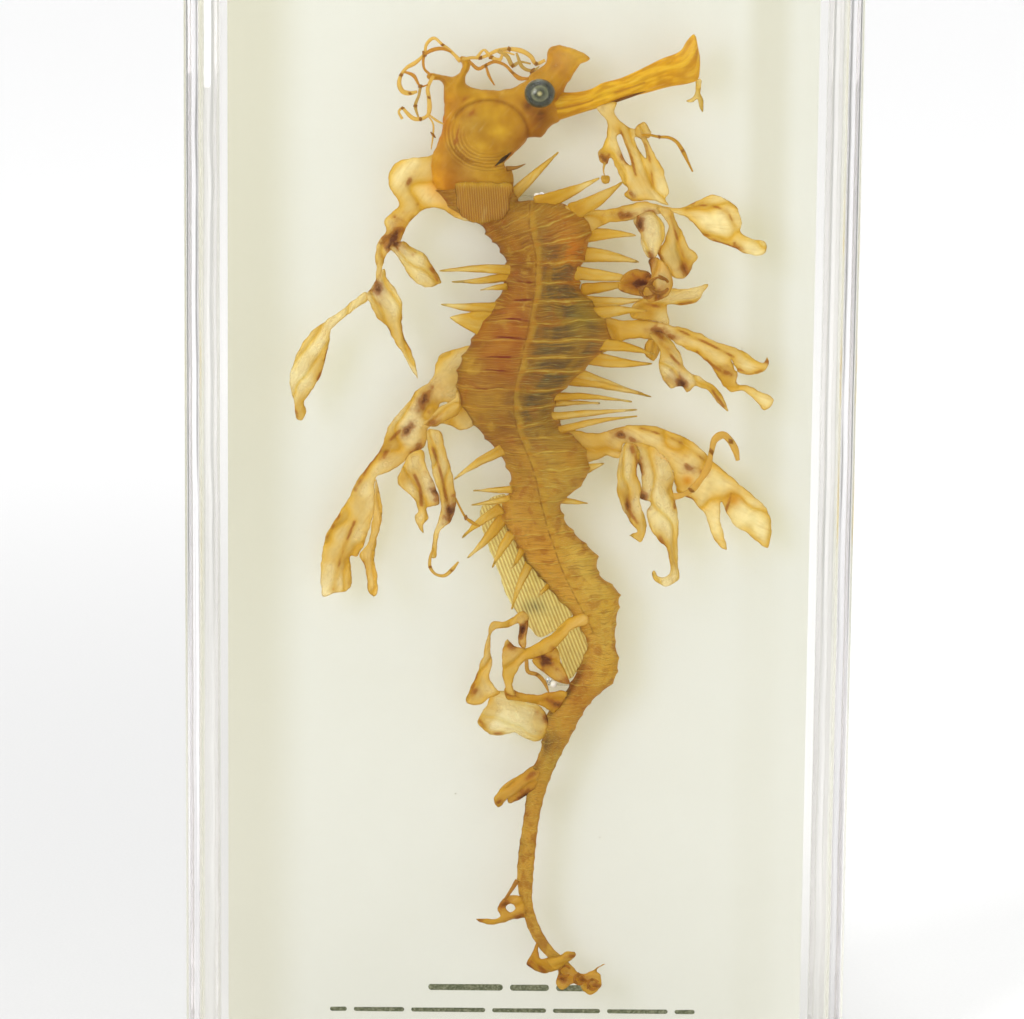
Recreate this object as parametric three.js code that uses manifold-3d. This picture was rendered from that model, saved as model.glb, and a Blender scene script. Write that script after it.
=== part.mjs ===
// A rectangular museum jar of preserving fluid, with a leafy seadragon sewn to an opal back plate.
// Millimetres, +Z up. The origin is the middle of the jar's underside, and the front of the jar faces -Y.
import * as THREE from "three";
import { mergeVertices } from "three/addons/utils/BufferGeometryUtils.js";
import Module from "manifold-3d";

const wasm = await Module();
wasm.setup();

// Jar: one piece of moulded glass, open at the top
const JAR_WIDTH = 184;
const JAR_DEPTH = 80;
const JAR_HEIGHT = 374;
const WALL = 6;
const FLOOR = 10;
const OUTER_CORNER = 10;
const INNER_CORNER = 5;
const ARC_STEPS = 4;

// Lid, its seal and the stopper of its filling hole
const LID_OVERHANG = 1;
const LID_THICKNESS = 6;
const LID_ARRIS = 0.5;
const HOLE_RADIUS = 5;
const SEAL_THICKNESS = 1.25;
const SEAL_INSET = 0.5;
const STEM_RADIUS = 4.7;
const STEM_LENGTH = 7;
const HEAD_RADIUS = 8;
const HEAD_THICKNESS = 3;
const HEAD_ARRIS = 0.75;

// Back plate and the rods that hold it off the rear wall
const PLATE_WIDTH = 166;
const PLATE_THICKNESS = 3;
const PLATE_HEIGHT = 345;
const PLATE_FRONT = 27;
const ROD_WIDTH = 4;
const ROD_DEPTH = 3.75;
const ROD_OFFSET = 76;

// Fluid: the level stands a little above the top of the plate
const FLUID_LEVEL = 362;
const FILM = 0.25;
const CLEARANCE = 0.3;

// Stitches: each goes through two holes in the plate and through the animal
const THREAD_RADIUS = 0.3;
const BEND_SWELL = 1.1;
const THREAD_HOLE_RADIUS = 0.8;
const STITCH_FRONT = 18;
const KNOT_RADIUS = 1;
const KNOT_DEPTH = 1.9;
const BEAD_RADIUS = 1;
const BEAD_BORE_RADIUS = 0.6;
const BEAD_LENGTH = 1.6;
const BEAD_END_SHARE = 0.75;
const STITCHES = {
  upper: { outside: 5.5, inside: -8, height: 273.5 },
  lower: { outside: 9, inside: 21, height: 134.5 },
};

// Specimen: the depth of its middle plane, and the thickness of its parts
const SPECIMEN_DEPTH = 16;
const BODY_FLATNESS = 0.62;
const BODY_HALF_LIMIT = 9.5;
const HEAD_HALF = 6;
const SNOUT_HALF = 3;
const FROND_HALF = 0.7;
const FIN_HALF = 0.5;
const SPINE_RADIUS = 1;
const SPINE_DEPTH = 14;

// The trunk and tail, from the nape down: left edge x, z and right edge x, z of each cross-section
const BODY_SECTIONS = [
  [-24, 275, -3, 277.5],
  [-11.5, 265.5, 2, 272.5],
  [-6.5, 259.5, 19, 266.5],
  [-4, 253.5, 17, 253.5],
  [-7, 243.5, 20, 244],
  [-13.5, 233, 25, 233.5],
  [-17.5, 223, 15.5, 223],
  [-14.5, 212, 9.5, 213],
  [-7.5, 203, 17, 204],
  [-2.5, 193, 17.5, 193],
  [-4.5, 184, 12.5, 184],
  [2.5, 170, 22, 172],
  [15.5, 155, 28.5, 158],
  [20, 146.5, 27.5, 146.5],
  [15.5, 135.5, 27, 135.5],
  [9, 127, 19, 127.5],
  [6.5, 115, 13, 115],
  [2.5, 98, 7, 98],
  [0.5, 80, 5, 80],
  [2, 70, 5, 70.5],
  [6, 59, 9.5, 60],
  [19, 46.5, 20, 49],
];
const BODY_SIDES = 8;

const HEAD_OUTLINE = [
  [-25, 276], [-25.5, 284], [-22.5, 292.5], [-22, 303], [-26.5, 306], [-20, 306.5], [-17, 312], [-15, 309],
  [-16, 304.5], [-9.5, 303], [-0.5, 305], [6, 311], [9, 315.5], [18.5, 312], [13.5, 307], [12, 303],
  [12, 295.5], [5, 290], [0, 287.5], [-5, 282.5], [-2.5, 276.5], [-3, 271], [-9, 267], [-20, 270],
];
const SNOUT_OUTLINE = [
  [8, 302.5], [18.5, 303.5], [27, 306.5], [44, 314.5], [47, 319], [48.5, 318], [49, 306], [41, 304.5],
  [28.5, 301], [9, 294.5],
];
const DORSAL_FIN_OUTLINE = [
  [-5, 189], [-11, 184.5], [-8.5, 174], [-3, 159.5], [3, 151], [7, 148], [15.5, 155], [22, 160], [8, 182],
];

// Leaf-like fronds: the depth of each one's middle plane and its outline
const FRONDS = [
  { depth: 12, outline: [[-22, 288], [-31, 284.5], [-36.5, 281], [-37, 275.5], [-34.5, 271], [-38, 265],
    [-41, 256.5], [-43.5, 245], [-38.5, 255], [-30.5, 267], [-23, 270], [-14.5, 267], [-14, 280]] },
  { depth: 11, outline: [[-39, 261], [-27.5, 257.5], [-22.5, 249.5], [-28.5, 248], [-34, 254], [-39, 257]] },
  { depth: 14, outline: [[-42, 251], [-37.5, 252], [-33.5, 243.5], [-33, 234.5], [-29, 222.5], [-37.5, 236.5],
    [-43.5, 245]] },
  { depth: 12, outline: [[-41, 250], [-43, 244.5], [-51, 238], [-56.5, 222], [-61.5, 210], [-65, 220],
    [-61.5, 231.5], [-51.5, 240]] },
  { depth: 11, outline: [[-8, 232], [-22.5, 228.5], [-27, 220], [-38, 206], [-48.5, 187.5], [-56, 169],
    [-55.5, 159.5], [-47.5, 162], [-40.5, 189], [-27.5, 202], [-14, 209], [-6, 214]] },
  { depth: 14, outline: [[-42, 195], [-38.5, 183.5], [-40, 161], [-44, 169.5]] },
  { depth: 14, outline: [[-31, 203], [-34.5, 193], [-29, 186], [-27, 179], [-23, 188], [-26, 203.5]] },
  { depth: 11, outline: [[-28, 209], [-24, 193.5], [-25, 171.5], [-23, 171.5], [-18, 185], [-20, 209]] },
  { depth: 13, outline: [[20.5, 303], [22.5, 288], [28.5, 274.5], [41, 272], [39, 283], [30, 293],
    [27, 303]] },
  { depth: 12, outline: [[8, 272], [33, 272.5], [45.5, 271], [53.5, 274.5], [61.5, 267], [68.5, 259.5],
    [59, 259.5], [45.5, 268.5], [33, 268], [21.5, 265], [16, 258]] },
  { depth: 10, outline: [[31, 270], [33.5, 259.5], [37, 256.5], [40, 263], [37, 270]] },
  { depth: 15, outline: [[38.5, 271], [38, 258.5], [45.5, 251], [49.5, 257], [42, 271]] },
  { depth: 11, outline: [[22, 250], [34.5, 249], [52.5, 249.5], [49.5, 244.5], [41.5, 238], [22, 241]] },
  { depth: 12, outline: [[16, 242], [37, 239], [54.5, 233.5], [69, 228], [61, 225], [71, 217], [59, 219],
    [44, 232.5], [29.5, 233.5], [16, 228]] },
  { depth: 14, outline: [[36.5, 237], [39.5, 224], [42.5, 220], [58, 214], [48.5, 224], [42, 236]] },
  { depth: 12, outline: [[10, 207], [38, 209], [55, 199], [70, 186], [71, 175], [59, 184], [43.5, 192],
    [32, 204], [12, 197]] },
  { depth: 14, outline: [[30, 206], [27.5, 194], [34.5, 176.5], [36, 181], [34.5, 193], [35, 206]] },
  { depth: 10, outline: [[34, 203], [37, 180.5], [43, 165], [45.5, 166], [44.5, 187], [41, 201]] },
  { depth: 13, outline: [[22, 157], [8.5, 149], [-3, 148.5], [-4, 134], [1, 132], [0, 139], [9.5, 144.5],
    [24, 151]] },
  { depth: 15, outline: [[2, 157], [-7, 152.5], [-13.5, 130.5], [-4, 131.5], [-7, 141], [-6, 149],
    [2, 145]] },
  { depth: 14, outline: [[-5, 133], [-11, 124], [-6.5, 120], [5, 118.5], [12, 126], [14, 133]] },
  { depth: 14, outline: [[4, 112], [-4, 105], [-5, 99], [5, 102]] },
  { depth: 13, outline: [[2, 78], [-4.5, 69.5], [-11, 66], [2.5, 65.5], [4, 72]] },
  { depth: 14, outline: [[8, 60], [3.5, 53], [12, 50.5], [16, 57], [13, 58]] },
  { depth: 15, outline: [[12, 55], [13.5, 46], [24.5, 46.5], [25, 52], [16, 53]] },
];

// Spines of the trunk: root x, z and tip x, z
const SPINES = [
  [3, 276, 10, 286], [6, 270, 21.5, 279], [15, 267, 28, 278], [16, 262, 32, 263], [14, 259, 33, 255.5],
  [13, 252.5, 34, 251], [12, 219, 35, 218.5], [9, 216, 31.5, 217], [8, 212, 33, 214], [10, 207, 33, 212.5],
  [15, 196, 24, 198.5], [-2, 253, -23, 252.5], [-2, 248.5, -11.5, 247.5], [-5, 243, -22.5, 243],
  [-9, 237, -20, 239.5], [-5, 203, -18.5, 194], [0, 191, -13, 190.5], [0, 188, -13.5, 186.5],
  [-2, 183.5, -14.5, 171], [2, 178, -7, 169], [5, 171, -1.5, 157],
];
const SPINE_SIDES = 4;

const glass = new THREE.MeshStandardMaterial({ color: 0xe9f1ee, roughness: 0.05,
  transparent: true, opacity: 0.3 });
const fluidLook = new THREE.MeshStandardMaterial({ color: 0xf7f4dc, roughness: 0.02, transparent: true,
  opacity: 0.12 });
const sealant = new THREE.MeshStandardMaterial({ color: 0xd9d9d0, roughness: 0.6 });
const opal = new THREE.MeshStandardMaterial({ color: 0xe6e6d4, roughness: 0.3 });
const skin = new THREE.MeshStandardMaterial({ color: 0xb88537, roughness: 0.45 });
const nylon = new THREE.MeshStandardMaterial({ color: 0xf3f1e6, roughness: 0.3 });
const enamel = new THREE.MeshStandardMaterial({ color: 0xfbf8ee, roughness: 0.15 });

// A closed geometry as a manifold solid.
function solid(geometry) {
  const bare = geometry.clone();
  bare.deleteAttribute("normal");
  bare.deleteAttribute("uv");
  const merged = mergeVertices(bare, 1e-4);
  const vertProperties = new Float32Array(merged.attributes.position.array);
  const triVerts = new Uint32Array(merged.index.array);
  return new wasm.Manifold(new wasm.Mesh({ numProp: 3, vertProperties, triVerts }));
}

// The geometry of a manifold solid, with flat faces.
function faceted(body) {
  const { vertProperties, triVerts } = body.getMesh();
  const geometry = new THREE.BufferGeometry();
  geometry.setAttribute("position", new THREE.BufferAttribute(vertProperties, 3));
  geometry.setIndex(new THREE.BufferAttribute(triVerts, 1));
  const flat = geometry.toNonIndexed();
  flat.computeVertexNormals();
  return flat;
}

function union(bodies) {
  return bodies.reduce((whole, body) => whole.add(body));
}

// The largest connected body of a solid: the drops that a crowded corner cuts off are left out.
function largest(body) {
  const parts = body.decompose();
  parts.sort((a, b) => b.volume() - a.volume());
  return parts[0];
}

function roundedRectangle(width, depth, radius) {
  const x = width / 2 - radius;
  const y = depth / 2 - radius;
  const shape = new THREE.Shape();
  shape.absarc(x, y, radius, 0, Math.PI / 2);
  shape.absarc(-x, y, radius, Math.PI / 2, Math.PI);
  shape.absarc(-x, -y, radius, Math.PI, 1.5 * Math.PI);
  shape.absarc(x, -y, radius, 1.5 * Math.PI, 2 * Math.PI);
  return shape;
}

// A prism on the XY plane from z = bottom to z = top.
function prism(shape, bottom, top) {
  const geometry = new THREE.ExtrudeGeometry(shape, {
    depth: top - bottom,
    bevelEnabled: false,
    curveSegments: ARC_STEPS,
  });
  return geometry.translate(0, 0, bottom);
}

// A box between two corners, with an even margin on every side.
function box(low, high, margin = 0) {
  const size = high.map((value, i) => value - low[i] + 2 * margin);
  const middle = high.map((value, i) => (value + low[i]) / 2);
  return new THREE.BoxGeometry(...size).translate(...middle);
}

// A sheet that stands in the XZ plane: an outline of [x, z] points with thickness about y = depth.
function sheet(shape, depth, half, margin = 0) {
  const geometry = new THREE.ExtrudeGeometry(shape, {
    depth: 2 * half,
    bevelEnabled: margin > 0,
    bevelSize: margin,
    bevelThickness: margin,
    bevelSegments: 1,
    curveSegments: ARC_STEPS,
  });
  return geometry.rotateX(Math.PI / 2).translate(0, depth + half, 0);
}

function outlineShape(points) {
  return new THREE.Shape(points.map(([x, z]) => new THREE.Vector2(x, z)));
}

function jarBody() {
  const outer = prism(roundedRectangle(JAR_WIDTH, JAR_DEPTH, OUTER_CORNER), 0, JAR_HEIGHT);
  const cavity = prism(cavityOutline(), FLOOR, JAR_HEIGHT + FLOOR);
  return faceted(solid(outer).subtract(solid(cavity)));
}

function cavityOutline(margin = 0) {
  return roundedRectangle(
    JAR_WIDTH - 2 * WALL - 2 * margin,
    JAR_DEPTH - 2 * WALL - 2 * margin,
    INNER_CORNER - margin,
  );
}

function lidPlate() {
  const width = JAR_WIDTH + 2 * LID_OVERHANG;
  const depth = JAR_DEPTH + 2 * LID_OVERHANG;
  const shape = roundedRectangle(width, depth, OUTER_CORNER + LID_OVERHANG);
  const hole = new THREE.Path();
  hole.absarc(0, 0, HOLE_RADIUS, 0, 2 * Math.PI, true);
  shape.holes.push(hole);
  const geometry = new THREE.ExtrudeGeometry(shape, {
    depth: LID_THICKNESS - 2 * LID_ARRIS,
    bevelSize: LID_ARRIS,
    bevelOffset: -LID_ARRIS,
    bevelThickness: LID_ARRIS,
    bevelSegments: 1,
    curveSegments: 2 * ARC_STEPS,
  });
  return geometry.translate(0, 0, LID_ARRIS);
}

function lidSeal() {
  const shape = roundedRectangle(
    JAR_WIDTH - 2 * SEAL_INSET,
    JAR_DEPTH - 2 * SEAL_INSET,
    OUTER_CORNER - SEAL_INSET,
  );
  shape.holes.push(cavityOutline(-SEAL_INSET));
  return prism(shape, 0, SEAL_THICKNESS);
}

function fillerPlug() {
  const profile = [
    [0, -STEM_LENGTH],
    [STEM_RADIUS - HEAD_ARRIS, -STEM_LENGTH],
    [STEM_RADIUS, -STEM_LENGTH + HEAD_ARRIS],
    [STEM_RADIUS, 0],
    [HEAD_RADIUS, 0],
    [HEAD_RADIUS, HEAD_THICKNESS - HEAD_ARRIS],
    [HEAD_RADIUS - HEAD_ARRIS, HEAD_THICKNESS],
    [0, HEAD_THICKNESS],
  ];
  const points = profile.map(([x, y]) => new THREE.Vector2(x, y));
  return new THREE.LatheGeometry(points, 4 * ARC_STEPS).rotateX(Math.PI / 2);
}

function backPlate() {
  const half = PLATE_WIDTH / 2;
  const top = FLOOR + PLATE_HEIGHT;
  const shape = outlineShape([[-half, FLOOR], [half, FLOOR], [half, top], [-half, top]]);
  for (const { outside, inside, height } of Object.values(STITCHES)) {
    for (const x of [outside, inside]) {
      const hole = new THREE.Path();
      hole.absarc(x, height, THREAD_HOLE_RADIUS, 0, 2 * Math.PI, true);
      shape.holes.push(hole);
    }
  }
  return sheet(shape, PLATE_FRONT + PLATE_THICKNESS / 2, PLATE_THICKNESS / 2);
}

function plateCorners() {
  return [
    [-PLATE_WIDTH / 2, PLATE_FRONT, FLOOR],
    [PLATE_WIDTH / 2, PLATE_FRONT + PLATE_THICKNESS, FLOOR + PLATE_HEIGHT],
  ];
}

function rodCorners(side) {
  const rear = PLATE_FRONT + PLATE_THICKNESS;
  return [
    [side * ROD_OFFSET - ROD_WIDTH / 2, rear, FLOOR],
    [side * ROD_OFFSET + ROD_WIDTH / 2, rear + ROD_DEPTH, FLOOR + PLATE_HEIGHT],
  ];
}

// A stitch: forward through one hole, across into the animal, back through the other hole, and knotted.
function stitch({ outside, inside, height }, margin = 0) {
  const radius = THREAD_RADIUS + margin;
  const rear = PLATE_FRONT + PLATE_THICKNESS + KNOT_DEPTH;
  const corners = [
    [outside, rear],
    [outside, STITCH_FRONT],
    [inside, STITCH_FRONT],
    [inside, rear],
  ].map(([x, y]) => new THREE.Vector3(x, y, height));
  const strands = corners.map((start, i) => {
    const end = corners[(i + 1) % corners.length];
    return solid(strand(start, end, radius));
  });
  const bends = corners.map((at) =>
    solid(new THREE.IcosahedronGeometry(BEND_SWELL * radius).translate(...at)),
  );
  const knot = new THREE.IcosahedronGeometry(KNOT_RADIUS + margin);
  knot.translate((outside + inside) / 2, rear, height);
  return union([...strands, ...bends, solid(knot)]);
}

function strand(start, end, radius) {
  const path = new THREE.LineCurve3(start, end);
  const section = new THREE.Shape().absarc(0, 0, radius, 0, 2 * Math.PI);
  return new THREE.ExtrudeGeometry(section, { steps: 1, extrudePath: path, curveSegments: ARC_STEPS });
}

// A bead on the stitch's cross strand, beside the bend.
function bead({ outside, inside, height }, margin = 0) {
  const half = BEAD_LENGTH / 2 + margin;
  const outer = BEAD_RADIUS + margin;
  const bore = BEAD_BORE_RADIUS - margin;
  const profile = [
    [bore, -half],
    [BEAD_END_SHARE * outer, -half],
    [outer, -half / 2],
    [outer, half / 2],
    [BEAD_END_SHARE * outer, half],
    [bore, half],
    [bore, -half],
  ];
  const points = profile.map(([x, y]) => new THREE.Vector2(x, y));
  const towards = Math.sign(inside - outside);
  const geometry = new THREE.LatheGeometry(points, 2 * ARC_STEPS).rotateZ(Math.PI / 2);
  return geometry.translate(outside + towards * (BEAD_LENGTH / 2 + 2 * THREAD_RADIUS), STITCH_FRONT, height);
}

// The trunk and tail: a cylinder whose rings are fitted to the cross-sections.
function trunk(margin) {
  const last = BODY_SECTIONS.length - 1;
  const tube = new THREE.CylinderGeometry(1, 1, last, BODY_SIDES, last);
  const position = tube.attributes.position;
  for (let i = 0; i < position.count; i++) {
    const row = Math.round(last / 2 - position.getY(i));
    const [leftX, leftZ, rightX, rightZ] = BODY_SECTIONS[row];
    const half = Math.hypot(rightX - leftX, rightZ - leftZ) / 2;
    const halfDepth = Math.min(half * BODY_FLATNESS, BODY_HALF_LIMIT);
    const across = position.getX(i) * (half + margin) / half;
    const along = margin * (Number(row === 0) - Number(row === last));
    position.setXYZ(
      i,
      (leftX + rightX) / 2 + (across * (rightX - leftX)) / 2,
      SPECIMEN_DEPTH - position.getZ(i) * (halfDepth + margin),
      (leftZ + rightZ) / 2 + (across * (rightZ - leftZ)) / 2 + along,
    );
  }
  return tube;
}

function spine([rootX, rootZ, tipX, tipZ], margin) {
  const root = new THREE.Vector3(rootX, SPINE_DEPTH, rootZ);
  const tip = new THREE.Vector3(tipX, SPINE_DEPTH, tipZ);
  const direction = tip.clone().sub(root).normalize();
  const length = root.distanceTo(tip) + 2 * margin;
  const cone = new THREE.ConeGeometry(SPINE_RADIUS + 2 * margin, length, SPINE_SIDES);
  cone.applyQuaternion(new THREE.Quaternion().setFromUnitVectors(new THREE.Vector3(0, 1, 0), direction));
  return cone.translate(...root.add(tip).multiplyScalar(0.5));
}

// The whole animal as one solid. A margin makes it that much larger all round.
function animal(margin = 0) {
  const pieces = [
    trunk(margin),
    sheet(outlineShape(HEAD_OUTLINE), SPECIMEN_DEPTH, HEAD_HALF, margin),
    sheet(outlineShape(SNOUT_OUTLINE), SPECIMEN_DEPTH, SNOUT_HALF, margin),
    sheet(outlineShape(DORSAL_FIN_OUTLINE), SPECIMEN_DEPTH, FIN_HALF, margin),
    ...FRONDS.map(({ depth, outline }) => sheet(outlineShape(outline), depth, FROND_HALF, margin)),
    ...SPINES.map((ends) => spine(ends, margin)),
  ];
  return union(pieces.map(solid));
}

// What the stitches and beads take out of a piece they pass through, with room round them.
const stitchRoom = union(
  Object.values(STITCHES).flatMap((place) => [
    stitch(place, CLEARANCE),
    solid(bead(place, CLEARANCE)),
  ]),
);

function fluid() {
  const block = solid(prism(cavityOutline(FILM), FLOOR + FILM, FLUID_LEVEL));
  const mount = [plateCorners(), rodCorners(-1), rodCorners(1)].map(([low, high]) =>
    solid(box(low, high, CLEARANCE)),
  );
  return faceted(largest(block.subtract(union([...mount, stitchRoom, animal(CLEARANCE)]))));
}

function node(name, geometry, material, parent, position = [0, 0, 0]) {
  const mesh = new THREE.Mesh(geometry, material);
  mesh.name = name;
  mesh.position.set(...position);
  parent.add(mesh);
}

const jar = new THREE.Group();
node("jar_body", jarBody(), glass, jar);
node("lid_seal", lidSeal(), sealant, jar, [0, 0, JAR_HEIGHT]);
node("preserving_fluid", fluid(), fluidLook, jar);

const lid = new THREE.Group();
lid.position.z = JAR_HEIGHT + SEAL_THICKNESS;
node("lid_plate", lidPlate(), glass, lid);
node("filler_plug", fillerPlug(), glass, lid, [0, 0, LID_THICKNESS]);
jar.add(lid);

const mount = new THREE.Group();
node("back_plate", backPlate(), opal, mount);
node("left_spacer_rod", box(...rodCorners(-1)), glass, mount);
node("right_spacer_rod", box(...rodCorners(1)), glass, mount);
node("specimen", faceted(largest(animal().subtract(stitchRoom))), skin, mount);
for (const [name, place] of Object.entries(STITCHES)) {
  node(`${name}_tie_thread`, faceted(stitch(place)), nylon, mount);
  node(`${name}_tie_bead`, bead(place), enamel, mount);
}
jar.add(mount);

export default jar;
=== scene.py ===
"""A museum specimen jar: its glass, fluid and mounted leafy seadragon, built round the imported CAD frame.

Shapes are worked out in millimetres in the CAD's own frame (origin under the middle of the jar, front to -Y)
and turned into metres when a mesh is made."""

import math

import bpy
import numpy as np
from mathutils import Matrix, Vector, geometry, noise


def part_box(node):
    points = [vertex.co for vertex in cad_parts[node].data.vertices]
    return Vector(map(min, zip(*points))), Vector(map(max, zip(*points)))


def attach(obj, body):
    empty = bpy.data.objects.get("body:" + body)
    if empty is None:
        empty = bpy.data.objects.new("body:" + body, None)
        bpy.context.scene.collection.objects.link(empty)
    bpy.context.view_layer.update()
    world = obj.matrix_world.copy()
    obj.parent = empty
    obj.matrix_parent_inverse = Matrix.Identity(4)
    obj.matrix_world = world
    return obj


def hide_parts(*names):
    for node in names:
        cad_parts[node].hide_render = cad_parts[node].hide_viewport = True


MM = 0.001
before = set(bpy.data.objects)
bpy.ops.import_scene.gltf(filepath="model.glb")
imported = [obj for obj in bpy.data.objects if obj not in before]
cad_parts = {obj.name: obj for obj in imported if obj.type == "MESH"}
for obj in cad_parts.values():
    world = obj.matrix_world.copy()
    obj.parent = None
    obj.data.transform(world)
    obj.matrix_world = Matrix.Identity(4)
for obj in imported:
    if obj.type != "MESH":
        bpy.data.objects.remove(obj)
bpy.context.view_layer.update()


def box_mm(node):
    low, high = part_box(node)
    return np.array(low) / MM, np.array(high) / MM


JAR_LOW, JAR_HIGH = box_mm("jar_body")
LID_LOW, LID_HIGH = box_mm("lid_plate")
PLUG_LOW, PLUG_HIGH = box_mm("filler_plug")
PLATE_FRONT = box_mm("back_plate")[0][1]
FLUID_LOW, FLUID_HIGH = box_mm("preserving_fluid")
FILM_GAP = 0.25
SURROUND = 0.62
KEY_POWER = 14.6
TOP_POWER = 1.82
SHADOW_FILM = 0.88
SHADOW_HUE = (0.98, 0.985, 0.8)
BOUNCE_SHARE = 0.45
BEADS = [box_mm("upper_tie_bead"), box_mm("lower_tie_bead")]

# ---------------------------------------------------------------- colours


def srgb(red, green, blue):
    """Linear colour of an 8-bit display colour."""
    values = np.array([red, green, blue]) / 255
    return np.where(values <= 0.04045, values / 12.92, ((values + 0.055) / 1.055) ** 2.4)


PALE = srgb(243, 228, 172)
STRAW = srgb(228, 200, 124)
OCHRE = srgb(210, 166, 86)
AMBER = srgb(198, 146, 48)
DEEP = srgb(172, 110, 32)
DARK = srgb(82, 34, 14)
CREAM = srgb(250, 232, 198)
GOLD = srgb(218, 172, 92)

# ---------------------------------------------------------------- curves and outlines


def smooth_curve(points, step, closed=False):
    """Points along a centripetal Catmull-Rom curve through the given ones, about step apart."""
    given = np.array(points, float)
    if closed:
        given = np.vstack([given[-1], given, given[0], given[1]])
    else:
        given = np.vstack([2 * given[0] - given[1], given, 2 * given[-1] - given[-2]])
    made = []
    for a, b, c, d in zip(given, given[1:], given[2:], given[3:]):
        knots = np.cumsum([0] + [max(np.linalg.norm(q - p), 1e-6) ** 0.5
                                 for p, q in ((a, b), (b, c), (c, d))])
        count = max(1, math.ceil(np.linalg.norm(c - b) / step))
        for share in range(count):
            t = knots[1] + (knots[2] - knots[1]) * share / count
            ab = a + (b - a) * (t - knots[0]) / (knots[1] - knots[0])
            bc = b + (c - b) * (t - knots[1]) / (knots[2] - knots[1])
            cd = c + (d - c) * (t - knots[2]) / (knots[3] - knots[2])
            low = ab + (bc - ab) * (t - knots[0]) / (knots[2] - knots[0])
            high = bc + (cd - bc) * (t - knots[1]) / (knots[3] - knots[1])
            made.append(low + (high - low) * (t - knots[1]) / (knots[2] - knots[1]))
    if not closed:
        made.append(given[-2])
    return np.array(made)


def distance_to_lines(points, line, closed=False):
    """How far each 2-D point is from a polyline."""
    ends = np.roll(line, -1, axis=0) if closed else line[1:]
    starts = line if closed else line[:-1]
    along = ends - starts
    offset = points[:, None] - starts[None]
    squared = np.maximum((along ** 2).sum(1), 1e-12)
    share = np.clip((offset * along[None]).sum(2) / squared, 0, 1)
    return np.linalg.norm(offset - share[..., None] * along[None], axis=2).min(1)


def inside(points, outline):
    """Which 2-D points lie inside a closed outline."""
    x, z = points[:, 0], points[:, 1]
    odd = np.zeros(len(points), bool)
    for (x0, z0), (x1, z1) in zip(outline, np.roll(outline, -1, axis=0)):
        if z0 == z1:
            continue
        crosses = (z0 > z) != (z1 > z)
        odd ^= crosses & (x < x0 + (z - z0) * (x1 - x0) / (z1 - z0))
    return odd


def fractal(points, size, seed, octaves=2):
    """Smooth noise of about -1 to 1 at 3-D points, with features about size wide."""
    shift = Vector((13.7 * seed, 5.1 * seed, -7.3 * seed))
    return np.array([noise.fractal(Vector(p) / size + shift, 1.0, 2.0, octaves) for p in points])


# ---------------------------------------------------------------- meshes


def make_mesh(name, points, faces, material, body, attributes=None, smooth=True):
    """A piece from points in millimetres. attributes holds one number or colour for each point."""
    mesh = bpy.data.meshes.new(name)
    mesh.from_pydata((np.array(points) * MM).tolist(), [], [list(map(int, f)) for f in faces])
    mesh.validate()
    for key, values in (attributes or {}).items():
        values = np.array(values, np.float32)
        if values.ndim == 2:
            colour = np.ones((len(values), 4), np.float32)
            colour[:, :3] = values
            mesh.attributes.new(key, "FLOAT_COLOR", "POINT").data.foreach_set("color", colour.ravel())
        else:
            mesh.attributes.new(key, "FLOAT", "POINT").data.foreach_set("value", values)
    mesh.polygons.foreach_set("use_smooth", [smooth] * len(mesh.polygons))
    piece = bpy.data.objects.new(name, mesh)
    bpy.context.scene.collection.objects.link(piece)
    for each in material if isinstance(material, list) else [material]:
        mesh.materials.append(each)
    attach(piece, body)
    return piece


def grid_faces(rows, columns):
    """Quads between successive rings of points."""
    row, column = np.meshgrid(np.arange(rows - 1), np.arange(columns), indexing="ij")
    after = (column + 1) % columns
    corners = [row * columns + column, row * columns + after, (row + 1) * columns + after,
               (row + 1) * columns + column]
    return np.stack([c.ravel() for c in corners], 1)


class Tissue:
    """One piece of the animal: surfaces with a tint, a stain and a film value (how much light passes)."""

    def __init__(self):
        self.points, self.faces, self.tints, self.stains, self.films, self.grains = [], [], [], [], [], []
        self.count = 0

    def add(self, points, faces, tint, stain=0.0, film=0.0, grain=None):
        """grain is each point's place along and across the fibres. Without it they run lengthwise."""
        size = len(points)
        points = np.array(points, float)
        if grain is None:
            flat = points[:, [0, 2]] - points[:, [0, 2]].mean(0)
            grain = flat @ np.linalg.eigh(flat.T @ flat)[1][:, ::-1]
        self.grains.append(grain + 40 * len(self.points))
        self.points.append(points)
        self.faces += [[int(i) + self.count for i in f] for f in faces]
        self.tints.append(np.broadcast_to(np.array(tint, float), (size, 3)))
        self.stains.append(np.broadcast_to(np.array(stain, float), (size,)))
        self.films.append(np.broadcast_to(np.array(film, float), (size,)))
        self.count += size

    def build(self, name, material):
        points = np.vstack(self.points)
        attributes = {
            "tint": np.clip(np.vstack(self.tints), 0, 1),
            "stain": np.clip(np.concatenate(self.stains), 0, 1),
            "film": np.clip(np.concatenate(self.films), 0, 1),
            "along": np.vstack(self.grains)[:, 0],
            "across": np.vstack(self.grains)[:, 1],
        }
        return make_mesh(name, points, self.faces, material, "mount", attributes)


def toward(tint, share, colour):
    """Moves each point's tint towards a colour by that point's share."""
    return tint + share[:, None] * (colour - tint)


def blobs_of_colour(points, tint, blobs):
    """Blends soft spots of colour (x, z, radius, colour, strength) into a tint."""
    tint = np.array(np.broadcast_to(tint, (len(points), 3)), float)
    for x, z, radius, colour, strength in blobs:
        share = strength * np.exp(-((points[:, 0] - x) ** 2 + (points[:, 2] - z) ** 2) / radius ** 2)
        tint = toward(tint, share, colour)
    return tint


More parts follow.
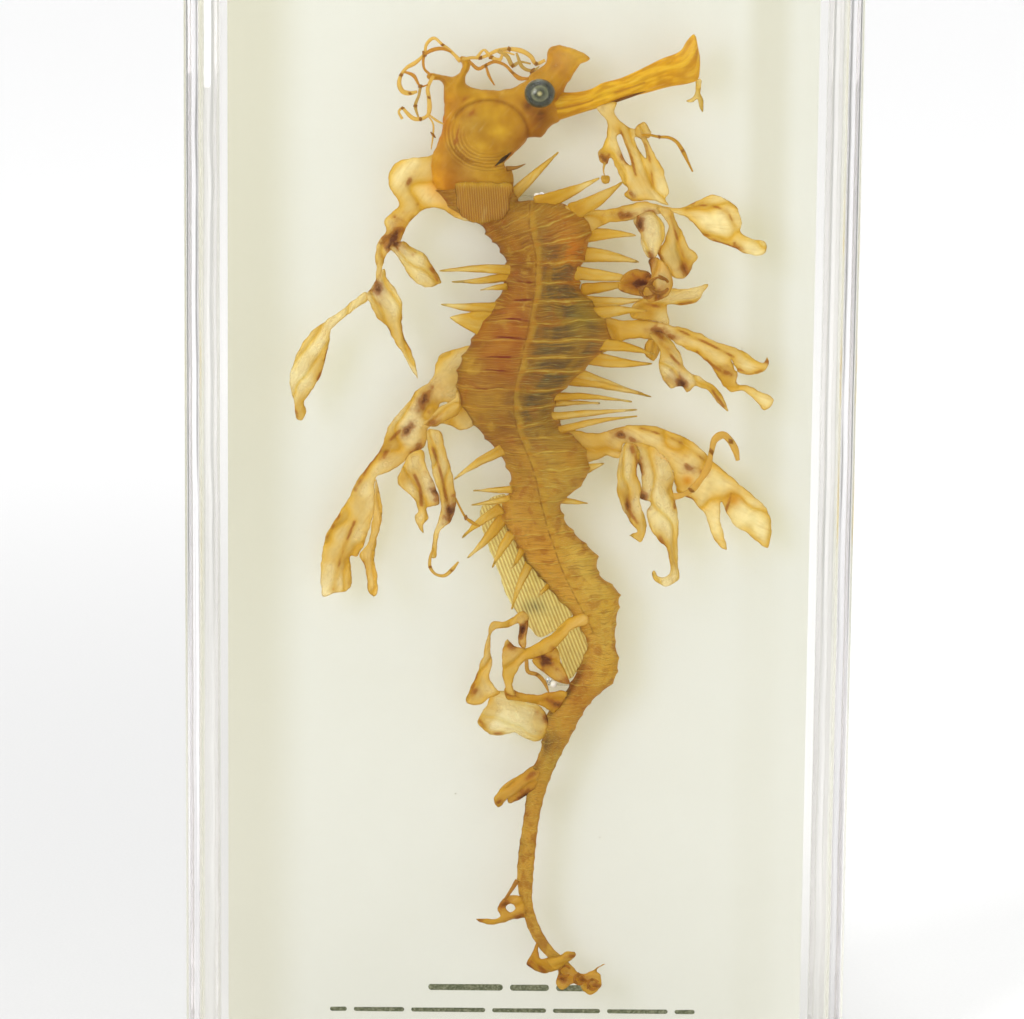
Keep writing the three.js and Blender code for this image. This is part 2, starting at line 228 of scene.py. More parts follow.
def stain_of(points, spots, streaks):
    """Dark stain of spots (x, z, radius), drawn out along the leaf, and of streaks (width, line)."""
    flat = points[:, [0, 2]]
    stain = np.zeros(len(points))
    centred = flat - flat.mean(0)
    lengthwise = np.linalg.eigh(centred.T @ centred)[1][:, 1]
    crosswise = np.array([-lengthwise[1], lengthwise[0]])
    for x, z, radius in spots:
        off = flat - (x, z)
        reach = np.hypot(0.55 * off @ lengthwise, 1.1 * off @ crosswise) / radius
        reach = reach * (1 + 0.75 * fractal(points, 1.7, 19))
        strength = min(1.0, 0.35 + 0.35 * radius)
        stain = np.maximum(stain, strength / (1 + np.exp(5 * (reach - 0.7))))
        stain = np.maximum(stain, 0.28 * np.exp(-(reach / 1.7) ** 2))
    for width, line in streaks:
        reach = distance_to_lines(flat, smooth_curve(line, 0.8)) / (0.65 * width + 0.1)
        broken = np.clip(0.6 + 1.3 * fractal(points, 4.0, 23), 0.1, 1)
        stain = np.maximum(stain, 0.55 * broken * np.exp(-reach ** 2))
    return stain


def limp(flat, seed, cup, fold):
    """How a thin leaf hangs: cupped across, twisted along, and creased down its length."""
    stream = np.random.default_rng(seed)
    centred = flat - flat.mean(0)
    along, across = (centred @ np.linalg.eigh(centred.T @ centred)[1][:, ::-1]).T
    along, across = along / np.abs(along).max(), across / np.abs(across).max()
    bent = stream.uniform(-1, 1) * cup * across ** 2 + stream.uniform(-1, 1) * cup * along * across
    bent += 0.6 * stream.uniform(-1, 1) * cup * along ** 2
    wander = fractal(np.column_stack([flat, np.full(len(flat), seed)]), 12.0, seed)
    creases = (1 - np.abs(np.sin(math.pi * (1.0 * across + 0.7 * wander + stream.uniform(0, 1))))) ** 3
    return bent + fold * creases, creases


def crown_slivers(flat, triangles, outline_edges):
    """Gives each triangle that has only edge points a middle point of its own, so that its two sides part."""
    gap = np.min([distance_to_lines(flat, e, closed=True) for e in outline_edges], axis=0)
    flush = (gap < 1e-4)[triangles].all(1)
    middles = flat[triangles[flush]].mean(1)
    new = len(flat) + np.arange(len(middles))
    a, b, c = triangles[flush].T
    split = [np.column_stack(corners) for corners in ((a, b, new), (b, c, new), (c, a, new))]
    return np.vstack([flat, middles]), np.vstack([triangles[~flush], *split])


def sheet(outline, depth, half, rim=2.0, step=0.9, ripple=0.5, seed=1, relief=None, holes=(), cup=0.0,
          fold=0.0, ragged=0.3):
    """A closed leaf of tissue that stands in the XZ plane: a puffed outline, rippled about y = depth.
    It returns its points, its faces, how far each point is from the edge, and where it is creased."""
    edge = smooth_curve(outline, step, closed=True)
    outwards = np.roll(edge, 1, axis=0) - np.roll(edge, -1, axis=0)
    outwards = outwards[:, ::-1] * (1, -1) / np.maximum(np.linalg.norm(outwards, axis=1), 1e-6)[:, None]
    rough = fractal(np.column_stack([edge, np.zeros(len(edge))]), 2.4, seed + 0.5, 3)
    edge = edge + (ragged * rough)[:, None] * outwards
    edges = [edge] + [smooth_curve(hole, step, closed=True) for hole in holes]
    low, high = edge.min(0), edge.max(0)
    rows = np.arange(low[1], high[1], step * 0.87)
    columns = np.arange(low[0], high[0], step)
    seeds = np.array([(x + step / 2 * (i % 2), z) for i, z in enumerate(rows) for x in columns])
    keep = inside(seeds, edge)
    seeds = seeds[keep]
    clear = np.min([distance_to_lines(seeds, e, closed=True) for e in edges], axis=0) > 0.55 * step
    seeds = seeds[clear]
    flat, links = [], []
    for e in edges:
        start = len(flat)
        flat += list(e)
        links += [(start + i, start + (i + 1) % len(e)) for i in range(len(e))]
    flat += list(seeds)
    vertices, _, triangles, *_ = geometry.delaunay_2d_cdt([Vector(p) for p in flat], links, [], 0, 1e-5)
    flat = np.array([tuple(v) for v in vertices])
    triangles = np.array([t for t in triangles if len(t) == 3])
    middles = flat[triangles].mean(1)
    kept = inside(middles, edge)
    for hole in edges[1:]:
        kept &= ~inside(middles, hole)
    triangles = triangles[kept]
    used = np.unique(triangles)
    index = np.full(len(flat), -1)
    index[used] = np.arange(len(used))
    flat, triangles = crown_slivers(flat[used], index[triangles], edges)
    gap = np.min([distance_to_lines(flat, e, closed=True) for e in edges], axis=0)
    border = gap < 1e-4
    round_over = np.clip(gap / rim, 0, 1)
    swell = half * np.sqrt(1 - (1 - round_over) ** 2)
    if relief is not None:
        swell = swell + relief(flat, gap)
    bent, creases = limp(flat, seed, cup, fold)
    middle_y = depth + bent
    if ripple:
        middle_y = middle_y + ripple * fractal(np.column_stack([flat, np.zeros(len(flat))]), 9.0, seed)
    back_limit = PLATE_FRONT - 0.5 - swell
    middle_y = np.minimum(middle_y, back_limit)
    front = np.column_stack([flat[:, 0], middle_y - swell, flat[:, 1]])
    back = np.column_stack([flat[:, 0], middle_y + swell, flat[:, 1]])[~border]
    rear_index = np.arange(len(flat))
    rear_index[~border] = len(flat) + np.arange((~border).sum())
    a, b, c = flat[triangles[:, 0]], flat[triangles[:, 1]], flat[triangles[:, 2]]
    turned = (b[:, 0] - a[:, 0]) * (c[:, 1] - a[:, 1]) - (b[:, 1] - a[:, 1]) * (c[:, 0] - a[:, 0]) < 0
    triangles[turned] = triangles[turned][:, ::-1]
    faces = np.vstack([triangles, rear_index[triangles][:, ::-1]])
    points = np.vstack([front, back])
    return points, faces, np.concatenate([gap, gap[~border]]), np.concatenate([creases, creases[~border]])


def leaf(tissue, outline, depth, colour, half=0.5, spots=(), streaks=(), blobs=(), film=0.85, edge=0.4,
         **shape):
    """Adds a thin, translucent leaf with a darker rim to a piece of tissue."""
    shape = {"rim": 1.0, "cup": 2.2, "fold": 1.1, **shape}
    shape["step"] = min(shape.get("step", 0.5), 0.5)
    points, faces, gap, creases = sheet(outline, depth, 0.6 * half, **shape)
    uneven = np.clip(0.5 + 1.2 * fractal(points, 6.0, 17), 0.05, 1)
    edge_line = edge * np.exp(-(gap / 0.3) ** 2) * uneven
    margin = np.clip(0.62 * np.exp(-(gap / 1.5) ** 2) * (0.55 + 0.9 * fractal(points, 9.0, 27)), 0, 1)
    mottle = fractal(points, 6.0, 3) * 0.12
    tint = np.array(colour)[None] * (1 + mottle[:, None] * (0.5, 1.0, 1.8))
    tint = blobs_of_colour(points, tint, blobs)
    bleached = np.clip((tint[:, 1] - 0.24) / 0.26, 0, 1)
    tint = toward(tint, 0.85 * bleached * (1 - margin) * (1 - creases), CREAM)
    tint = toward(tint, margin, GOLD)
    tint = toward(tint, edge_line, DEEP)
    tint = toward(tint, 0.5 * creases, AMBER)
    cloud = np.clip(1.6 * fractal(points, 13.0, 41) - 0.1, 0, 0.5)
    tint = toward(tint, cloud, AMBER)
    for width, line in streaks:
        halo = 0.65 * np.exp(-(distance_to_lines(points[:, [0, 2]], smooth_curve(line, 0.8))
                               / (3.5 * width)) ** 2)
        tint = toward(tint, halo, AMBER)
    stain = stain_of(points, spots, streaks)
    tint[:, 2] = 1.5 * tint[:, 2] ** 1.35
    paleness = np.clip((tint[:, 1] - 0.2) / 0.42, 0.25, 1)
    clear = paleness * (1 - 0.5 * edge_line) * (1 - 0.35 * margin) * (1 - stain) * (1 - 0.45 * creases)
    tissue.add(points, faces, tint, stain, film * clear)


TUBE_STEP = 0.6


def tube(tissue, line, radii, colour, sides=10, flat=1.0, film=0.4):
    """Adds a tapering tube along a 3-D line of points."""
    path = smooth_curve(line, TUBE_STEP)
    share = np.linspace(0, 1, len(path))
    radius = np.interp(share, np.linspace(0, 1, len(radii)), radii)
    forward = np.gradient(path, axis=0)
    forward /= np.linalg.norm(forward, axis=1)[:, None]
    across = np.cross(forward, [0, 1, 0])
    weak = np.linalg.norm(across, axis=1) < 0.05
    across[weak] = [1, 0, 0]
    across /= np.linalg.norm(across, axis=1)[:, None]
    up = np.cross(across, forward)
    angle = np.linspace(0, 2 * math.pi, sides, endpoint=False)
    ring = np.cos(angle)[None, :, None] * across[:, None] + flat * np.sin(angle)[None, :, None] * up[:, None]
    points = path[:, None] + radius[:, None, None] * ring
    count = len(path)
    all_points = np.vstack([points.reshape(-1, 3), path[0], path[-1]])
    faces = [list(f[::-1]) for f in grid_faces(count, sides)]
    faces += [[count * sides, i, (i + 1) % sides] for i in range(sides)]
    last = (count - 1) * sides
    faces += [[count * sides + 1, last + (i + 1) % sides, last + i] for i in range(sides)]
    length = np.append(np.repeat(np.arange(count) * TUBE_STEP, sides), [0, count * TUBE_STEP])
    girth = np.append(np.tile(angle, count), [0, 0])
    tissue.add(all_points, faces, colour, 0.0, film, np.column_stack([length, girth]))


def fit_rings(sections, count):
    """Evenly spread cross-sections along a body given by left and right edge points (x, z, x, z)."""
    given = np.array(sections, float)
    fine = smooth_curve(given, 0.4)
    middle = (fine[:, :2] + fine[:, 2:]) / 2
    length = np.concatenate([[0], np.cumsum(np.linalg.norm(np.diff(middle, axis=0), axis=1))])
    even = np.linspace(0, length[-1], count)
    rings = np.column_stack([np.interp(even, length, fine[:, i]) for i in range(4)])
    return rings, even

# ---------------------------------------------------------------- materials


class Shader:
    """A material's node tree, built with short calls. An input is a number, a colour or a node's output."""

    def __init__(self, name):
        self.material = bpy.data.materials.new(name)
        self.material.use_nodes = True
        self.tree = self.material.node_tree
        self.tree.nodes.clear()

    def node(self, kind, inputs=(), **settings):
        made = self.tree.nodes.new(kind)
        for key, value in settings.items():
            setattr(made, key, value)
        for key, value in dict(inputs).items():
            self.feed(made.inputs[key], value)
        return made

    def feed(self, socket, value):
        if isinstance(value, bpy.types.NodeSocket):
            self.tree.links.new(value, socket)
        elif socket.type == "RGBA":
            socket.default_value = (*np.array(value, float)[:3], 1)
        else:
            socket.default_value = value

    def math(self, operation, a, b=0.0):
        return self.node("ShaderNodeMath", {0: a, 1: b}, operation=operation).outputs[0]

    def blend(self, factor, a, b, mode="MIX"):
        mixed = self.node("ShaderNodeMix", {0: factor, 6: a, 7: b}, data_type="RGBA", blend_type=mode)
        return mixed.outputs[2]

    def fade(self, value, low, high, start=0.0, end=1.0):
        """Maps value from low-high onto start-end, clamped and eased."""
        inputs = {"Value": value, "From Min": low, "From Max": high, "To Min": start, "To Max": end}
        return self.node("ShaderNodeMapRange", inputs, interpolation_type="SMOOTHSTEP").outputs[0]

    def attribute(self, name):
        return self.node("ShaderNodeAttribute", attribute_name=name).outputs

    def place(self, scale=(1, 1, 1)):
        """Object coordinates in millimetres, stretched by scale."""
        where = self.node("ShaderNodeTexCoord").outputs["Object"]
        sized = {"Vector": where, "Scale": tuple(np.array(scale) / MM)}
        return self.node("ShaderNodeMapping", sized).outputs[0]

    def vector(self, x, y):
        return self.node("ShaderNodeCombineXYZ", {"X": x, "Y": y}).outputs[0]

    def noise(self, vector, scale, detail=3.0, warp=0.0):
        inputs = {"Vector": vector, "Scale": scale, "Detail": detail, "Distortion": warp}
        return self.node("ShaderNodeTexNoise", inputs).outputs["Fac"]

    def bump(self, height, distance):
        inputs = {"Height": height, "Distance": distance * MM, "Strength": 1.0}
        return self.node("ShaderNodeBump", inputs).outputs[0]

    def mix_shader(self, factor, a, b):
        return self.node("ShaderNodeMixShader", {0: factor, 1: a, 2: b}).outputs[0]

    def finish(self, surface):
        self.node("ShaderNodeOutputMaterial", {"Surface": surface})
        return self.material


AIR_TO_GLASS = 1.5
AIR_TO_FLUID = 1.36
FLUID_TO_GLASS = AIR_TO_GLASS / AIR_TO_FLUID
GLASS_TINT = (0.996, 0.993, 0.994)
INNER_WAVE = 0.15
NYLON_TO_FLUID = 1.12


def clear_material(name, ior, tint=GLASS_TINT, ripple=0.0):
    """A clear surface that bends what is seen through it and lets light straight in to what it holds."""
    s = Shader(name)
    uneven = s.noise(s.place((1, 1, 0.35)), 0.06, 2)
    scuffs = s.noise(s.place((1, 1, 0.2)), 0.9, 6)
    inputs = {"Color": tint, "Roughness": s.fade(scuffs, 0.62, 0.8, 0.0, 0.05), "IOR": ior}
    if ripple:
        inputs["Normal"] = s.bump(uneven, ripple)
    glass = s.node("ShaderNodeBsdfGlass", inputs).outputs[0]
    straight = s.node("ShaderNodeBsdfTransparent", {"Color": tint}).outputs[0]
    path = s.node("ShaderNodeLightPath").outputs
    soft_ray = s.math("MAXIMUM", path["Is Shadow Ray"], path["Is Diffuse Ray"])
    return s.finish(s.mix_shader(soft_ray, glass, straight))


def fluid_body_material():
    """The bulk of the fluid: clear, with a faint and slightly uneven warm tint."""
    s = Shader("fluid_body")
    haze = s.noise(s.place(), 0.02, 2)
    tint = s.blend(haze, (0.997, 0.997, 0.985), (0.99, 0.99, 0.975))
    return s.finish(s.node("ShaderNodeBsdfTransparent", {"Color": tint}).outputs[0])


def frosted_material():
    """Ground glass, for the plug's stem."""
    s = Shader("ground_glass")
    grain = s.noise(s.place(), 3.0, 4)
    inputs = {"Base Color": (0.93, 0.95, 0.95), "Roughness": s.fade(grain, 0.3, 0.7, 0.35, 0.6)}
    inputs.update({"Transmission Weight": 0.85, "IOR": AIR_TO_GLASS, "Normal": s.bump(grain, 0.05)})
    return s.finish(s.node("ShaderNodeBsdfPrincipled", inputs).outputs[0])


def sealant_material():
    """Milky silicone squeezed flat, with uneven thickness."""
    s = Shader("milky_sealant")
    lumps = s.noise(s.place(), 0.25, 4, 0.6)
    inputs = {"Base Color": s.blend(lumps, srgb(214, 212, 200), srgb(240, 240, 234)), "Roughness": 0.42}
    inputs.update({"Transmission Weight": 0.45, "IOR": 1.4, "Normal": s.bump(lumps, 0.3)})
    return s.finish(s.node("ShaderNodeBsdfPrincipled", inputs).outputs[0])


def plate_material():
    """Opal plate: cream, faintly mottled, with specks at random places, with painted shade near its sides and
    painted light towards its foot.
    """
    s = Shader("opal_plate_cream")
    place = s.place()
    x, _, z = s.node("ShaderNodeSeparateXYZ", {"Vector": place}).outputs
    cloud = s.noise(place, 0.02, 3)
    base = s.blend(cloud, srgb(223, 224, 211), srgb(229, 231, 221))
    # Painted shade: the plate darkens towards its left edge.
    base = s.blend(s.fade(x, -58.0, -74.0, 0.0, 0.7), base, srgb(206, 204, 180))
    # Painted light: the plate turns lighter towards its foot.
    base = s.blend(s.fade(z, 220.0, 60.0, 0.0, 0.25), base, srgb(250, 250, 242))
    # Painted shade: a darker band near the right edge of the plate, stronger higher up.
    right_shade_band = s.fade(s.math("ABSOLUTE", s.math("SUBTRACT", x, 69.0)), 9.0, 2.0, 0.0,
                  s.fade(z, 150.0, 230.0, 0.1, 0.55))
    base = s.blend(right_shade_band, base, srgb(206, 204, 180))
    grain = s.noise(place, 1.4, 5)
    base = s.blend(s.fade(grain, 0.3, 0.75, 0.0, 0.07), base, srgb(196, 192, 160))
    cells = {"Vector": place, "Scale": 0.16, "Randomness": 1.0}
    speck = s.node("ShaderNodeTexVoronoi", cells, feature="F1").outputs
    size = s.math("MULTIPLY", s.noise(place, 0.05, 1), 0.055)
    dots = s.fade(s.math("SUBTRACT", speck["Distance"], size), -0.004, 0.012, 0.55, 0.0)
    rare = s.fade(s.noise(place, 0.035, 2), 0.56, 0.62)
    base = s.blend(s.math("MULTIPLY", dots, rare), base, srgb(150, 140, 104))
    inputs = {"Base Color": base, "Roughness": 0.35}
    inputs.update({"Specular IOR Level": 0.12, "Normal": s.bump(grain, 0.03)})
    return s.finish(s.node("ShaderNodeBsdfPrincipled", inputs).outputs[0])


def ink_material():
    """Flat grey-green printing ink, worn thin in places."""
    s = Shader("printing_ink")
    wear = s.noise(s.place(), 1.8, 4)
    colour = s.blend(s.fade(wear, 0.35, 0.75), srgb(104, 110, 84), srgb(158, 160, 132))
    return s.finish(s.node("ShaderNodeBsdfDiffuse", {"Color": colour, "Roughness": 0.8}).outputs[0])


def thread_material():
    """Clear nylon, twisted, with a slight milky tone."""
    s = Shader("nylon")
    twist = s.noise(s.place(), 3.0, 2)
    inputs = {"Base Color": s.blend(twist, srgb(240, 238, 222), srgb(252, 251, 244)), "Roughness": 0.12}
    inputs.update({"Transmission Weight": 0.92, "IOR": NYLON_TO_FLUID, "Normal": s.bump(twist, 0.05)})
    return s.finish(s.node("ShaderNodeBsdfPrincipled", inputs).outputs[0])


def bead_material():
    """Glossy white glass, given a faint glow of its own, which is painted light."""
    s = Shader("bead_glass")
    cloud = s.noise(s.place(), 1.2, 3)
    inputs = {"Base Color": s.blend(cloud, srgb(236, 236, 230), srgb(255, 255, 252)), "Roughness": 0.12}
    # Painted light: a faint white emission makes the bead glow.
    inputs.update({"Coat Weight": 0.6, "Emission Color": (1, 1, 1), "Emission Strength": 0.12})
    return s.finish(s.node("ShaderNodeBsdfPrincipled", inputs).outputs[0])


def flesh(s, colour, film, normal, glow=0.3, lift=(1.13, 1.24, 0.9)):
    """Preserved tissue: matt and a little glowing, and see-through by the share film, which it tints."""
    hue = s.blend(1.0, s.blend(0.42, (1, 1, 1), colour), (1.0, 0.985, 0.86), "MULTIPLY")
    colour = s.blend(1.0, colour, lift, "MULTIPLY")
    solid = s.node("ShaderNodeBsdfPrincipled", {"Base Color": colour, "Roughness": 0.5, "Normal": normal})
    s.feed(solid.inputs["Specular IOR Level"], 0.16)
    through = s.node("ShaderNodeBsdfTranslucent", {"Color": colour, "Normal": normal}).outputs[0]
    body = s.mix_shader(glow, solid.outputs[0], through)
    path = s.node("ShaderNodeLightPath").outputs
    soft_ray = s.math("MAXIMUM", path["Is Shadow Ray"], s.math("MULTIPLY", path["Is Diffuse Ray"],
                                                               BOUNCE_SHARE))
    hue = s.blend(s.math("MULTIPLY", soft_ray, 0.8), hue, SHADOW_HUE)
    clear = s.node("ShaderNodeBsdfTransparent", {"Color": hue}).outputs[0]
    soft = s.math("MULTIPLY", soft_ray, SHADOW_FILM)
    film = s.math("MAXIMUM", film, soft)
    return s.finish(s.mix_shader(film, body, clear))


def tissue_material():
    """Leaves, fins, spines and head: the mesh's own tint and stain, with fibres, flecks and wrinkles."""
    s = Shader("preserved_tissue")
    tint = s.attribute("tint")["Color"]
    stain = s.attribute("stain")["Fac"]
    film = s.attribute("film")["Fac"]
    along = s.attribute("along")["Fac"]
    across = s.attribute("across")["Fac"]
    fibres = s.noise(s.vector(s.math("MULTIPLY", along, 0.16), s.math("MULTIPLY", across, 1.5)), 1.0, 4, 0.35)
    mottle = s.noise(s.place(), 0.32, 5, 0.4)
    flecks = s.noise(s.place(), 2.3, 3)
    colour = s.blend(s.fade(fibres, 0.48, 0.75, 0.0, 0.32), tint, AMBER)
    colour = s.blend(s.fade(fibres, 0.42, 0.25, 0.0, 0.14), colour, PALE)
    colour = s.blend(s.fade(mottle, 0.4, 0.2, 0.0, 0.2), colour, DEEP)
    colour = s.blend(s.fade(flecks, 0.7, 0.82, 0.0, 0.4), colour, srgb(168, 108, 36))
    ragged = s.math("MULTIPLY", stain, s.fade(flecks, 0.2, 0.6, 0.7, 1.15))
    colour = s.blend(s.fade(ragged, 0.0, 0.4, 0.0, 0.85), colour, srgb(160, 92, 30))
    colour = s.blend(s.fade(ragged, 0.38, 1.0, 0.0, 0.9), colour, DARK)
    height = s.math("ADD", s.math("MULTIPLY", fibres, 0.6), s.math("MULTIPLY", mottle, 0.6))
    clear = s.math("MULTIPLY", film, s.fade(mottle, 0.3, 0.7, 1.0, 0.8))
    return flesh(s, colour, clear, s.bump(height, 0.2))


def trunk_material():
    """The ringed body: rusty back, grey windows between pale ring seams, and fine cross striations.
    'ring' counts the bony rings, 'across' runs from -1 on the back edge to 1 on the belly edge."""
    s = Shader("ringed_skin")
    tint = s.attribute("tint")["Color"]
    ring = s.attribute("ring")["Fac"]
    across = s.attribute("across")["Fac"]
    bruise = s.attribute("stain")["Fac"]
    seams = s.attribute("seam")["Fac"]
    place = s.place()
    bend = s.noise(s.vector(s.math("MULTIPLY", ring, 0.7), s.math("MULTIPLY", across, 1.2)), 1.0, 3)
    turn = s.math("ADD", ring, s.fade(bend, 0.2, 0.8, -0.16, 0.16))
    phase = s.math("FRACT", turn)
    gap = s.math("MINIMUM", phase, s.math("SUBTRACT", 1.0, phase))
    strands = s.noise(s.vector(s.math("MULTIPLY", turn, 12.0), s.math("MULTIPLY", across, 1.5)), 1.0, 4, 0.35)
    fine = s.noise(s.vector(s.math("MULTIPLY", turn, 26.0), s.math("MULTIPLY", across, 3.0)), 1.0, 2, 0.2)
    mottle = s.noise(place, 0.2, 4, 0.6)
    speckle = s.noise(place, 1.9, 3)
    block = s.vector(s.math("MULTIPLY", s.math("FLOOR", turn), 3.7), s.math("MULTIPLY", across, 2.6))
    patches = s.noise(block, 1.0, 2)
    lateral = s.attribute("lateral")["Fac"]
    belly = s.fade(lateral, -0.5, 2.0)
    colour = s.blend(s.fade(strands, 0.5, 0.3, 0.0, 0.5), tint, srgb(118, 66, 28))
    colour = s.blend(s.fade(strands, 0.54, 0.72, 0.0, 0.45), colour, srgb(220, 174, 100))
    colour = s.blend(s.fade(patches, 0.42, 0.66, 0.0, 0.35), colour, srgb(204, 140, 60))
    colour = s.blend(s.fade(mottle, 0.52, 0.66, 0.0, 0.5), colour, srgb(164, 88, 34))
    colour = s.blend(s.fade(mottle, 0.44, 0.3, 0.0, 0.6), colour, srgb(204, 158, 92))
    window = s.math("MULTIPLY", bruise, s.fade(gap, 0.05, 0.2))
    window = s.math("MULTIPLY", window, s.fade(patches, 0.36, 0.56, 0.3, 1.0))
    window = s.math("MULTIPLY", window, s.fade(strands, 0.62, 0.42, 0.55, 1.0))
    grey = s.blend(s.fade(mottle, 0.35, 0.65), srgb(96, 70, 74), srgb(78, 76, 92))
    colour = s.blend(s.math("MULTIPLY", window, 0.85), colour, grey)
    silver = s.blend(belly, srgb(220, 172, 112), srgb(216, 204, 178))
    colour = s.blend(s.fade(fine, 0.54, 0.76, 0.0, 0.5), colour, silver)
    colour = s.blend(s.fade(fine, 0.46, 0.26, 0.0, 0.22), colour, srgb(100, 60, 28))
    faint = s.fade(s.noise(s.vector(ring, s.math("MULTIPLY", across, 2.2)), 1.0, 2), 0.35, 0.6, 0.1, 1.0)
    seam = s.math("MULTIPLY", s.fade(gap, 0.01, 0.055, 1.0, 0.0), s.math("MULTIPLY", seams, faint))
    colour = s.blend(s.math("MULTIPLY", seam, 0.62), colour, srgb(228, 200, 146))
    dash = s.fade(s.math("ABSOLUTE", s.math("ADD", across, 0.45)), 0.12, 0.3, 1.0, 0.0)
    dash = s.math("MULTIPLY", dash, s.fade(s.math("ABSOLUTE", s.math("SUBTRACT", phase, 0.9)), 0.03, 0.075,
                                           1.0, 0.0))
    dash = s.math("MULTIPLY", dash, s.math("MULTIPLY", s.fade(patches, 0.3, 0.46),
                                           s.attribute("dash")["Fac"]))
    colour = s.blend(dash, colour, srgb(122, 42, 14))
    broken = s.fade(s.noise(s.vector(s.math("MULTIPLY", ring, 2.1), 7.0), 1.0, 2), 0.35, 0.6)
    wander = s.noise(s.vector(s.math("MULTIPLY", ring, 0.9), 3.0), 1.0, 3)
    off_line = s.math("SUBTRACT", lateral, s.fade(wander, 0.25, 0.75, -0.6, 1.3))
    line = s.fade(s.math("ABSOLUTE", off_line), 0.2, 1.4, 1.0, 0.0)
    line = s.math("MULTIPLY", line, s.fade(wander, 0.3, 0.6, 0.55, 1.0))
    colour = s.blend(s.math("MULTIPLY", line, 0.4), colour, srgb(216, 174, 98))
    node = s.math("MULTIPLY", line, s.fade(gap, 0.0, 0.2, 1.0, 0.0))
    colour = s.blend(s.math("MULTIPLY", node, 0.7), colour, srgb(186, 118, 28))
    shade = s.fade(s.math("ABSOLUTE", s.math("SUBTRACT", lateral, -0.5)), 0.05, 0.45, 1.0, 0.0)
    colour = s.blend(s.math("MULTIPLY", s.math("MULTIPLY", shade, broken), 0.6), colour, srgb(128, 76, 26))
    colour = s.blend(s.fade(speckle, 0.68, 0.8, 0.0, 0.45), colour, srgb(96, 52, 20))
    height = s.math("ADD", s.math("MULTIPLY", strands, 0.6), s.math("MULTIPLY", fine, 0.45))
    height = s.math("ADD", height, s.math("MULTIPLY", seam, 0.4))
    film = s.math("MULTIPLY", s.attribute("film")["Fac"], 0.5)
    return flesh(s, colour, film, s.bump(height, 0.3), glow=0.25, lift=(0.94, 0.97, 0.31))


def eye_material():
    """A clouded eye under its clear skin."""
    s = Shader("clouded_eye")
    tint = s.attribute("tint")["Color"]
    cloud = s.noise(s.place(), 0.9, 4, 0.5)
    colour = s.blend(s.fade(cloud, 0.45, 0.75, 0.0, 0.25), tint, srgb(120, 122, 88))
    inputs = {"Base Color": colour, "Roughness": 0.22, "Coat Weight": 0.5, "Normal": s.bump(cloud, 0.12)}
    return s.finish(s.node("ShaderNodeBsdfPrincipled", inputs).outputs[0])

# ---------------------------------------------------------------- jar, lid, plug and fluid

OUTER_CORNER = 10.0
INNER_CORNER = 5.0
FLOOR_FILLET = 3.0
LID_HOLE = 5.0
STEM_RADIUS = 4.7
CORNER_STEPS = 10
SIDE_STEPS = 12
GUARD = 0.4


def rounded_ring(half_x, half_y, corner, z):
    """A rounded rectangle at height z. Every ring has the same number of points, one close by each arc."""
    points = []
    arc = np.linspace(0, math.pi / 2, CORNER_STEPS + 1)
    for quarter, (sx, sy) in enumerate(((1, 1), (-1, 1), (-1, -1), (1, -1))):
        turned = arc + quarter * math.pi / 2
        centre = np.array([sx * (half_x - corner), sy * (half_y - corner)])
        points += list(centre + corner * np.column_stack([np.cos(turned), np.sin(turned)]))
        start = points[-1]
        next_x, next_y = ((-1, 1), (-1, -1), (1, -1), (1, 1))[quarter]
        before = (quarter + 1) * math.pi / 2
        end = np.array([next_x * (half_x - corner), next_y * (half_y - corner)])
        end = end + corner * np.array([math.cos(before), math.sin(before)])
        length = np.linalg.norm(end - start)
        guard = min(GUARD / max(length, 1e-6), 0.4)
        shares = np.concatenate([[guard], np.linspace(guard, 1 - guard, SIDE_STEPS)[1:-1], [1 - guard]])
        points += [start + (end - start) * share for share in shares]
    return np.column_stack([np.array(points), np.full(len(points), z)])


def edge_arc(inset, height, radius, start, end, steps=4):
    """(inset, height) pairs round an arris, with angles in degrees measured from outwards to upwards."""
    turns = np.radians(np.linspace(start, end, steps + 1))
    return [(inset - radius * math.cos(t), height + radius * math.sin(t)) for t in turns]


def rings_mesh(rings, closed=False, first_cap=False, last_cap=False):
    """Points and faces of a skin over successive rings."""
    count = len(rings[0])
    points = np.vstack(rings)
    if closed:
        faces = grid_faces(len(rings) + 1, count) % len(points)
    else:
        faces = grid_faces(len(rings), count)
    faces = faces.tolist()
    if first_cap:
        faces.append(list(range(count))[::-1])
    if last_cap:
        start = (len(rings) - 1) * count
        faces.append(list(range(start, start + count)))
    return points, faces


